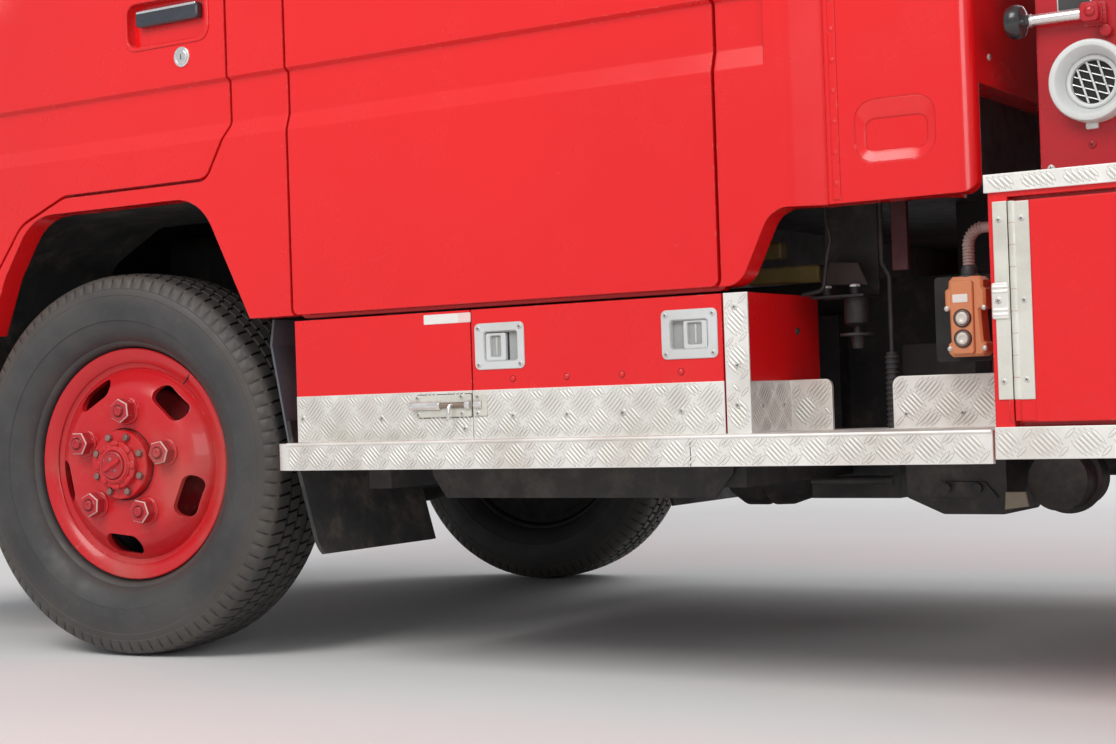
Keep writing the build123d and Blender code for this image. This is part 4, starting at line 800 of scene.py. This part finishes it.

# Behind the opening above the board: beams, pillar, bracket, bolts and the hose's corrugations. The pillar and one
# small plate are painted near black as shade
for rear_x, front_x, z in ((390, 464, 701), (324, 451, 660)):
    block(left((rear_x + front_x) / 2, 628, z), (front_x - rear_x, 28, 5, 4), 0, 22, 3)
# The red pillar takes shaded_red, red darkened as painted shade
plate(left(152, 722, 0), oblong(-13, 650, 13, 779), 0, 8, 1, 1)
# This plate takes shaded_brown, brown darkened as painted shade
plate(left(0, 696, 0), rows("-296,636 -218,632 -234,669 -281,672"), 0, 6, 1, 5)
dome(rear(345, 694.6, 566), 6, 4, 4)
for x in (234, 282):
    lathe(moved(x, 715, 628), "9,2 9,5 6,6.5", 6, 3)
for step in range(14):
    lathe(moved(178, 710, 414 + step * 8), "9.6,-2.4 11.4,-0.8 11.4,0.8 9.6,2.4", 16, 4)
plate(left(0, 560, 0), rows("-59,273 -20,278 -24,301 -57,301"), 0, 5, 1, 2)
build("notch_parts", "chassis_black", "olive shaded_red beige screw_steel trim_black shaded_brown")

# Wheels: rims with hand holes, nuts with worn edges and stud ends, hub bolts, locking hub
NUT_TURN = 12
NUT_RING = 104
HOLE_RING = 155.5
HOLE_ACROSS = 37
HOLE_LENGTH = 84
INNER_HALF = -15
# wheel_shade is wheel red darkened as painted shade; it goes on the brake drums, the rings on the nuts and the hub
# bolt washers
RIM_LOOKS = "wheel_red worn_nut wheel_shade stud_steel gap_black nut_edge"
RIM_SECTION = ("225,-58 225,-52 208,-50 200,-22 200,22 208,50 225,52 225.4,56 223,58 218,57.4 199,50 196.5,47 "
               "198,44 187,40 184.5,36 186,30 192,24 192,-24 200,-54 215,-58")
FRONT_DISC = ("187,28 187.5,36 183,44 178,50 172,56 166,63 160,68 153,73.5 146,77 139,79.3 132,80 66,80 66,71 "
              "130,71 141,68 153,60 165,48")
REAR_DISC = "193,108 193,119 188,112 138,18 132,13 60,9 60,0 138,0 144,5"
OPEN = (False, False)


def hexagon(across, turn):
    return circle(across / 2 / cos(radians(30)), 6, radians(turn))


def outward(y):
    """Frame on a wheel's outer side: a to the front, b down, c out."""
    return spot((0, y, 0), (1, 0, 0), (0, 0, -1))


def carved(disc, low, high):
    """A closed disc with its hand holes cut out between two heights."""
    body, cutters = Form(), Form()
    body.lathe(outward(0), disc, 90, closed=True)
    outline = rounded(HOLE_ACROSS, HOLE_LENGTH, HOLE_ACROSS / 2 - 0.5, 8, (HOLE_RING, 0))
    for index in range(5):
        turn = turned(180 + NUT_TURN + 36 + 72 * index)
        cutters.rings(outward(0) @ turn, [level(outline, low), level(outline, high)])
    objects = []
    for form in (body, cutters):
        mesh = bpy.data.meshes.new("carving")
        mesh.from_pydata(form.points, [], form.faces)
        objects.append(added("carving", mesh))
    objects[0].modifiers.new("cut", "BOOLEAN").object = objects[1]
    cut = objects[0].evaluated_get(bpy.context.evaluated_depsgraph_get()).to_mesh()
    result = Form()
    result.add([v.co.copy() for v in cut.vertices], [tuple(p.vertices) for p in cut.polygons])
    for obj in objects:
        bpy.data.objects.remove(obj)
    return result


def front_wheel():
    """Front rim about its local Y axis, outward is +Y. Its inner half is painted near black: painted shade, with
    grime.
    """
    out = outward(0)
    form = carved(FRONT_DISC, 20, 100)
    form.lathe(out, RIM_SECTION, 90, closed=True)
    form.lathe(out, "63,-58 63,70 67,78 67,95 65,98 30,98", 60)
    form.lathe(out, "67.2,79 69,81.2 70.8,79", 60, 4, OPEN)
    # The brake drum takes wheel_shade, painted shade
    form.lathe(out, "148,-58 148,4 144,8 60,8", 60, 2)
    form.lathe(out, "205,-57.5 203,-53 62,-53 62,-57.5", 60, 4, closed=True)
    # Faces on the inner half take gap_black, as painted shade and grime
    for number, face in enumerate(form.faces):
        if all(form.points[corner].y < INNER_HALF for corner in face):
            form.marks[number] = 4
    form.block(outward(57.4) @ turned(229.5), (24, 1.6, 0.5, 2, (210, 0)), -1.6, 0.9, 0.2, 4)
    return form


def rear_wheels():
    """Both rear rims on one hub. Outward is +Y, the middle of the twins is the origin."""
    outer = carved(REAR_DISC, -5, 130)
    outer.lathe(outward(TWIN_HALF), RIM_SECTION, 90, closed=True)
    form = outer.placed(Matrix.Scale(-1, 4, (0, 1, 0)))
    form.add(outer.points, outer.faces)
    form.lathe(outward(0), "64,-130 64,57 60,60 52,61 52,93 50,96 20,96", 60)
    form.lathe(outward(0), "148,-130 148,-44 144,-40 60,-40", 60, 2)
    return form


def wheel_fittings(form, face, hub_face, locking):
    """Nuts and hub parts of one wheel about its local Y axis."""
    for index in range(5):
        angle = radians(NUT_TURN + 72 * index)
        at = outward(face) @ moved(-NUT_RING * cos(angle), -NUT_RING * sin(angle))
        form.lathe(at, "27,-0.4 27,3.5 25,5", 28)
        body, tip, top = (hexagon(across, 10 + 25 * index) for across in (41, 37.6, 36.6))
        form.rings(at, [level(body, 3), level(body, 25.6)], 1, caps=(True, False))
        form.rings(at, [level(body, 25.6), level(tip, 28)], 5, caps=OPEN)
        form.rings(at, [level(tip, 28), level(top, 28.2)], 1, caps=(False, True))
        form.lathe(at, "12.8,28 12.8,29 11.4,29.2 10.8,28.2", 24, 2)
        form.lathe(at, "9.6,28 9.4,31.2 7.8,32.4 3,32 2.4,31", 20, 1)
    hub = outward(hub_face)
    for index in range(8):
        at = hub @ turned(22.5 + 45 * index) @ moved(56 if locking else 40, 0)
        form.lathe(at, [(8, -0.3), (8, 1.6)], 18, 2)
        form.plate(at, hexagon(12, 12 * index), 1.4, 7, 1, 3)
    if not locking:
        form.lathe(hub, "30,-0.3 29,5 22,8 8,9", 36)
        return form
    form.lathe(hub, "46,-0.3 46,8 44.5,10 37,10 36,14 33,15", 48)
    for index in range(8):
        form.block(hub @ turned(45 * index) @ moved(41.5, 0), (11, 17, 4, 3), 0, 14.5, 2.2)
    form.lathe(hub, "34,14 33.4,17 29,18.4 27.6,16.6", 36, 0, (True, False))
    form.lathe(hub, "27,14 26.6,20.4 24.4,22 23,22 22,20.4", 36, 1)
    form.block(hub @ turned(28), (42, 9, 3.6, 3), 19, 26.4, 1.4)
    for way in (-12.5, 12.5):
        dome(hub @ turned(118) @ moved(way, 0, 20.2), 3.2, 1.6, 3, form=form)
    return form


# Tyres
FRONT_AXLE_X = 1740
REAR_AXLE_X = -1210
WHEEL_Z = 372
KINGPIN_Y = 640
FRONT_WHEEL_Y = 740
REAR_WHEEL_Y = 717.5
TWIN_HALF = 117.5
PARKED = 5.6
LUGS = 92
LUG_ANGLE = 2 * pi / LUGS
LUG_CUTS = ((0, False), (0.78, False), (0.83, True), (0.95, True))

# Tyre section from the outer bead to the middle of the tread: offset and radius of the wall, and for the tread
# also groove share and turn of the pattern
TYRE_WALL = rows("49.5,208.6 51.5,225.6 57,228.5 64,231 69,236 70,239 72.5,240 82,248 91,260 96,272 98.2,278 "
                 "99.8,279 102,292 102.5,302 101.5,315 99,326 99.6,327.5 97.8,334 95.5,339")
TYRE_TREAD = rows("95.8,341,0.3,0 91.5,351,0.75,0 87,359,1,0 80,365,1,0 72,368,1,0.1 50,370.2,1,0.25 "
                  "49,362,1,0.35 44.5,362,1,0.65 43.5,370.8,1,0.75 20.5,371.6,1,0.95 19.5,363,1,1.05 "
                  "15.5,363,1,1.3 14.5,371.8,1,1.4 0,372,1,1.5")


def make_tyre():
    """One tyre about the local Y axis, with the ring radius and groove share of its points."""
    half = [(y, radius, 0, 0) for y, radius in TYRE_WALL] + TYRE_TREAD
    rows, radii, depths = [], [], []
    for y, radius, cut, turn in half + [(-y, radius, cut, -turn) for y, radius, cut, turn in half[-2::-1]]:
        floor = 365 if abs(y) < 86 else radius - 2.6
        row = []
        for lug in range(LUGS):
            for share, low in LUG_CUTS:
                here = (lug + share) / LUGS * 2 * pi + (turn - 1.5) * LUG_ANGLE
                depth, r = 0.0, radius
                if low and cut:
                    r = radius - (radius - min(floor, radius)) * cut
                    depth = cut if r < radius - 0.5 else 0.0
                row.append((r * sin(here), y, r * cos(here)))
                radii.append(r * MM)
                depths.append(1.0 if radius < 364 and abs(y) < 60 else depth)
        rows.append(row)
    form = Form()
    form.rings(ROW_FRAME, rows, closed=True)
    return form, radii, depths


tyre, tyre_radii, tyre_depths = make_tyre()


def wheel_place(x, y, side, steered=False):
    """Where a wheel's local frame sits; outward is the local +Y on the left and mirrored on the right."""
    place = moved(x, side * y, WHEEL_Z)
    if steered:
        pin = moved(FRONT_AXLE_X, side * KINGPIN_Y)
        place = pin @ turned(PARKED) @ pin.inverted() @ place
    return place if side > 0 else place @ Matrix.Scale(-1, 4, (0, 1, 0))


def build_tyres(name, body, node, *places):
    for place in places:
        one = tyre.placed(place)
        form.add(one.points, one.faces)
    obj = build(name, "tyre_rubber", "tyre_rubber", body, node, 28)
    for key, values in (("ring", tyre_radii), ("deep", tyre_depths)):
        obj.data.attributes.new(key, "FLOAT", "POINT").data.foreach_set("value", values * len(places))


for side, sign in (("left", 1), ("right", -1)):
    place = wheel_place(FRONT_AXLE_X, FRONT_WHEEL_Y, sign, True)
    outer, middle, inner = (wheel_place(REAR_AXLE_X, REAR_WHEEL_Y + shift, sign)
                            for shift in (TWIN_HALF, 0, -TWIN_HALF))
    one, two = f"wheel_front_{side}", f"wheels_rear_{side}"
    build_tyres(f"tyre_tread_front_{side}", one, f"tyre_front_{side}", place)
    build_tyres(f"tyre_tread_rear_{side}", two, f"tyres_rear_{side}", outer, inner)
    wheel = wheel_fittings(front_wheel(), 80, 98, True).placed(place)
    wheel.build(f"rim_front_whole_{side}", "wheel_red", RIM_LOOKS, one, f"rim_front_{side}")
    wheel = wheel_fittings(rear_wheels(), 9, 96, False).placed(middle)
    wheel.build(f"rims_rear_whole_{side}", "wheel_red", RIM_LOOKS, two, f"rims_rear_{side}")


# Pieces that follow curved CAD faces

def soft_polygon(points, radius, steps=5):
    """Outline with each corner rounded by a short curve."""
    result = []
    count = len(points)
    for i in range(count):
        here = Vector(points[i])
        start, end = (here + (Vector(points[j % count]) - here).normalized() * radius for j in (i - 1, i + 1))
        for step in range(steps + 1):
            t = step / steps
            point = start * (1 - t) ** 2 + here * 2 * t * (1 - t) + end * t ** 2
            result.append((point.x, point.y))
    return result


def divided(points, longest=60):
    """Closed outline with points added on its long sides."""
    result = []
    for i, point in enumerate(points):
        a, b = Vector(point), Vector(points[(i + 1) % len(points)])
        parts = max(1, int((b - a).length / longest))
        result.extend(tuple(a.lerp(b, k / parts)) for k in range(parts))
    return result


def surface(node):
    mesh = frame["nodes"][node].data
    return BVHTree.FromPolygons([v.co for v in mesh.vertices], [tuple(p.vertices) for p in mesh.polygons])


def hit(tree, origin, direction):
    place = tree.ray_cast(Vector(origin) * MM, Vector(direction))[0]
    return place / MM if place else None


def seal(tree, outline, direction, start, radius):
    """Round bar along a closed outline, which lies across direction and is dropped onto a face."""
    path = []
    for a, b in divided(outline):
        place = hit(tree, (a, start, b) if direction[1] else (start, a, b), direction)
        if place:
            path.append(place)
    tube(path + path[:2], radius, 8)


BACKWARD = (-1, 0, 0)
SIDE_WINDOWS = [("front", rows("1444,1316 2327,1316 2076,1944 1444,1944"), 50),
                ("rear", oblong(451, 1316, 1177, 1944), 40)]
for door, outline, radius in SIDE_WINDOWS:
    seal(surface(f"glass_{door}_left"), soft_polygon(outline, radius), (0, -1, 0), 1000, 6.5)
    both(f"window_seal_{door}", "trim_black", "trim_black", f"door_{door}_SIDE")
glazing = surface("glazing")
windscreen = rows("-728,1235 728,1235 683,2045 -683,2045")
seal(glazing, soft_polygon(windscreen, 60), BACKWARD, 3100, 7)
seal(glazing, soft_polygon(oblong(-413, 1407, 413, 1793), 50), (1, 0, 0), -300, 7)
build("screen_seals", "trim_black", "trim_black")

# Wipers: pivot y, blade from y to y
for pivot_y, y0, y1 in ((-90, -640, -110), (470, -80, 450)):
    blade = [hit(glazing, (3100, y0 + (y1 - y0) * step / 6, 1296 + 10 * step / 6), BACKWARD) + Vector((7, 0, 1))
             for step in range(7)]
    tube(blade, 4.5, 8)
    base = hit(glazing, (3100, pivot_y, 1246), BACKWARD) + Vector((16, 0, -6))
    middle = blade[3] + Vector((8, 0, 4))
    tube([base, base.lerp(middle, 0.5) + Vector((7, 0, 3)), middle], 5, 8)
    lathe(spot(base - Vector((14, 0, 0)), *FRONT), "13,-4 13,14 10,20 3,21", 18)
build("wipers", "trim_black", "trim_black")

# Headlamps: bezel on the lens, reflectors with bulbs, an amber cell and the back of the housing
lens = surface("lamps")
seal(lens, soft_polygon(oblong(494, 619, 716, 771), 26), BACKWARD, 3000, 5.5)
REFLECTOR = rows("52,0 47,-16 34,-31 13,-40 13,-43 37,-35 51,-18 55,0")
for y, size in ((551, 1), (645, 0.86)):
    at = spot((hit(lens, (3000, y, 695), BACKWARD).x - 50, y, 695), *FRONT)
    lathe(at, [(r * size, c) for r, c in REFLECTOR], 36, 1, closed=True)
    lathe(at, "7,-42 7,-22 5,-15 2,-12", 18, 2)
face_x = hit(lens, (3000, 706, 695), BACKWARD).x
block(front(face_x - 66, 702, 695), (26, 120, 8, 4), -10, 6, 3, 3)
block(front(2664, 605, 695), (250, 180, 20, 4), -6, 0, 1, 4)
both("headlamp_parts", "lamp_lens", "trim_black chrome bulb lens_amber trim_black")

# Rear lamp cells, blank plate and reflectors
for mark, y in enumerate((707, 620, 533)):
    at = rear(-2828, y, 610)
    block(at, (83, 94, 7, 4), -0.4, 5.5, 2, mark)
    for rib in range(-4, 5):
        block(at, (2.4, 80, 1, 2, (rib * 8.4, 0)), 5.2, 6.6, 0.7, mark)
    for a, b in ((-34, 40), (34, -40)):
        screw(at @ moved(a, b, 5.5), 3.6, 1.4, 3, 4)
lathe(rear(-2838, 700, 485), "28,-3 28,0.4 25,1.6", 28)
both("tail_lamp_cells", "lamp_lens", "lens_red lens_amber lens_clear screw_steel gap_black")
at = rear(-2798, 0, 612)
block(at, (330, 160, 8, 4), -0.4, 2, 0.8)
for a in (-105, 105):
    screw(at @ moved(a, 62, 2), 6, 2.4, 1, 2)
build("blank_plate", "white_paint", "label_white screw_steel gap_black")

# Grille backing and mirror glass
block(front(2736, 0, 700), (880, 184, 20, 4), -3, 0, 0.5)
for step in range(21):
    block(front(2737, -400 + 40 * step, 700), (3, 170, 1, 2), -1, 3, 0.8)
build("grille_backing", "trim_black", "trim_black")
at = rear(2243, 1027.5, 1465)
block(at, (137, 252, 13, 4), -0.5, 1.5, 0.6)
window(at, rounded(145, 260, 15, 4), rounded(135, 250, 12, 4), -0.5, 3, 1, 1)
both("mirror_glass", "trim_black", "mirror_silver trim_black", "door_front_SIDE")

# Light bar: middle with its speaker, end caps, lens ribs and base
BAR = rows("-150,24 150,24 120,150 -120,150")


def bar_slice(y0, y1, grow, mark):
    profile = shrunk(soft_polygon(BAR, 28, 4), -grow)
    rings(left(2120, 0, 2140), [level(profile, y0), level(profile, y1)], mark)


bar_slice(-92, 92, 2.4, 1)
for end, cap in ((-1, (-621, -596)), (1, (596, 621))):
    bar_slice(*cap, 1.6, 1)
    for step in range(22):
        y = end * (106 + 22 * step)
        bar_slice(y, y + 5, 1, 0)
for step in range(7):
    block(front(2262 - 4.6 * step, 0, 2188 + 12 * step), (150, 5, 2, 2), -8, 6, 1, 2)
block(spot((2120, 0, 2163), *TOP), (306, 1246, 12, 4), 0, 17, 2, 2)
build("light_bar_parts", "beacon_red", "beacon_red latch_paint trim_black")


# Seats: crowned pads with sewn channels and piping

def pad_point(u, v, w, half, crown, channels):
    """Point of a rounded pad from a point on a cube's face; w is up."""
    power = 7
    scale = (abs(u) ** power + abs(v) ** power + abs(w) ** power) ** (1 / power)
    a, b, c = u / scale, v / scale, w / scale
    pull = 1 - 0.025 * (1 - abs(c)) * (1 - min(abs(a), abs(b)) ** 2)
    z = (half[2] - crown) * c
    if c > 0:
        z += crown * (1 - a * a) * (1 - b * b) * c
        for line in channels:
            z -= 7 * exp(-((b - line) * half[1] / 7) ** 2) * c ** 3
    return half[0] * a * pull, half[1] * b * pull, z


def pad(at, half, crown, channels, steps=22):
    """One closed pad about the frame's origin, finer along its width."""
    form = Form()
    found = {}
    points = []
    faces = []

    def index(*place):
        key = tuple(round(value, 5) for value in place)
        if key not in found:
            found[key] = len(points)
            points.append(at @ Vector(pad_point(*place, half, crown, channels)))
        return found[key]

    x, y, z = (1, 0, 0), (0, 1, 0), (0, 0, 1)
    for across, along, out in ((x, y, z), (y, z, x), (z, x, y)):
        na, nb = (3 * steps if axis == y else steps for axis in (along, across))
        for way in (1, -1):
            rows = [[index(*((-1 + 2 * i / nb) * across[k] + (-1 + 2 * j / na) * along[k] + way * out[k]
                             for k in range(3))) for j in range(na + 1)] for i in range(nb + 1)]
            for i in range(nb):
                for j in range(na):
                    face = (rows[i][j], rows[i + 1][j], rows[i + 1][j + 1], rows[i][j + 1])
                    faces.append(face if way > 0 else face[::-1])
    form.add(points, faces)
    path = []
    for step in range(65):
        c, s = cos(2 * pi * step / 64), sin(2 * pi * step / 64)
        path.append(at @ Vector((half[0] * 0.955 * copysign(abs(c) ** 0.28, c),
                                 half[1] * 0.965 * copysign(abs(s) ** 0.28, s), (half[2] - crown) * 0.8)))
    form.tube(path, 4.5, 8)
    return form


# Pads: name, middle, way the depth runs, half depth, width and height, crown, channels across the width
LINES = (-0.66, -0.33, 0, 0.33, 0.66)
BENCH_LINES = (-0.78, -0.56, -0.34, -0.12, 0.12, 0.34, 0.56, 0.78)
FLAT, UPRIGHT = (1, 0, 0), (0, 0, -1)
PADS = []
for side, y in (("left", 430), ("right", -430)):
    PADS.append((f"seat_{side}_base", (1720, y, 995), FLAT, (238, 268, 74), 14, LINES))
    PADS.append((f"seat_{side}_back", (1430, y, 1310), UPRIGHT, (388, 268, 44), 12, LINES))
PADS.append(("bench_base", (385, 0, 950), FLAT, (233, 757, 148), 16, BENCH_LINES))
PADS.append(("bench_back", (95, 0, 1225), UPRIGHT, (422, 757, 44), 12, BENCH_LINES))
for name, middle, way, half, crown, lines in PADS:
    at = spot(middle, way, (0, 1, 0))
    piece = pad(at, half, crown, lines).build(name, "seat_cover", "seat_cover", replaced="seats", sharp=60)


# Floor and light

def make_stage():
    """Pale floor."""
    look = Look("floor", {"Roughness": 0.8})
    look.finish(look.mix(look.patches((0.8, 4), 0.3, 0.7), (0.8, 0.8, 0.79), (0.77, 0.77, 0.76)))
    mesh = bpy.data.meshes.new("floor")
    mesh.from_pydata(level(oblong(-60, -60, 60, 60), 0), [], [(0, 1, 2, 3)])
    mesh.materials.append(look.mat)
    added("floor", mesh)


def make_light():
    """Cool fill from the world, which the camera sees as pale grey, and three area lamps."""
    world = bpy.data.worlds.new("studio")
    bpy.context.scene.world = world
    world.use_nodes = True
    nodes, link = world.node_tree.nodes, world.node_tree.links.new
    fill = nodes["Background"]
    seen, path, mix, either = (nodes.new("ShaderNode" + kind)
                               for kind in ("Background", "LightPath", "MixShader", "Math"))
    for node, *values in ((fill, (0.94, 0.96, 1, 1), 0.55), (seen, (0.9, 0.9, 0.9, 1), 1)):
        for number, value in enumerate(values):
            node.inputs[number].default_value = value
    either.operation = "MAXIMUM"
    link(path.outputs["Is Camera Ray"], either.inputs[0])
    link(path.outputs["Is Transmission Ray"], either.inputs[1])
    for number, source in enumerate((either, fill, seen)):
        link(source.outputs[0], mix.inputs[number])
    link(mix.outputs[0], nodes["World Output"].inputs["Surface"])
    for name, place, target, size, power, colour in (
            ("key", (1.5, 6.5, 6), (0.6, 0.8, 0.7), 4, 360, (1, 0.98, 0.95)),
            ("side", (-5, 5, 2.6), (0.2, 0.8, 0.7), 3, 110, (0.95, 0.97, 1)),
            ("back", (-1, -7, 5.5), (0, 0, 1), 5, 240, (1, 1, 1))):
        data = bpy.data.lights.new(name, "AREA")
        data.size, data.energy, data.color = size, power, colour
        lamp = added(name, data)
        lamp.location = place
        lamp.rotation_euler = (Vector(target) - Vector(place)).to_track_quat("-Z", "Y").to_euler()


make_stage()
make_light()
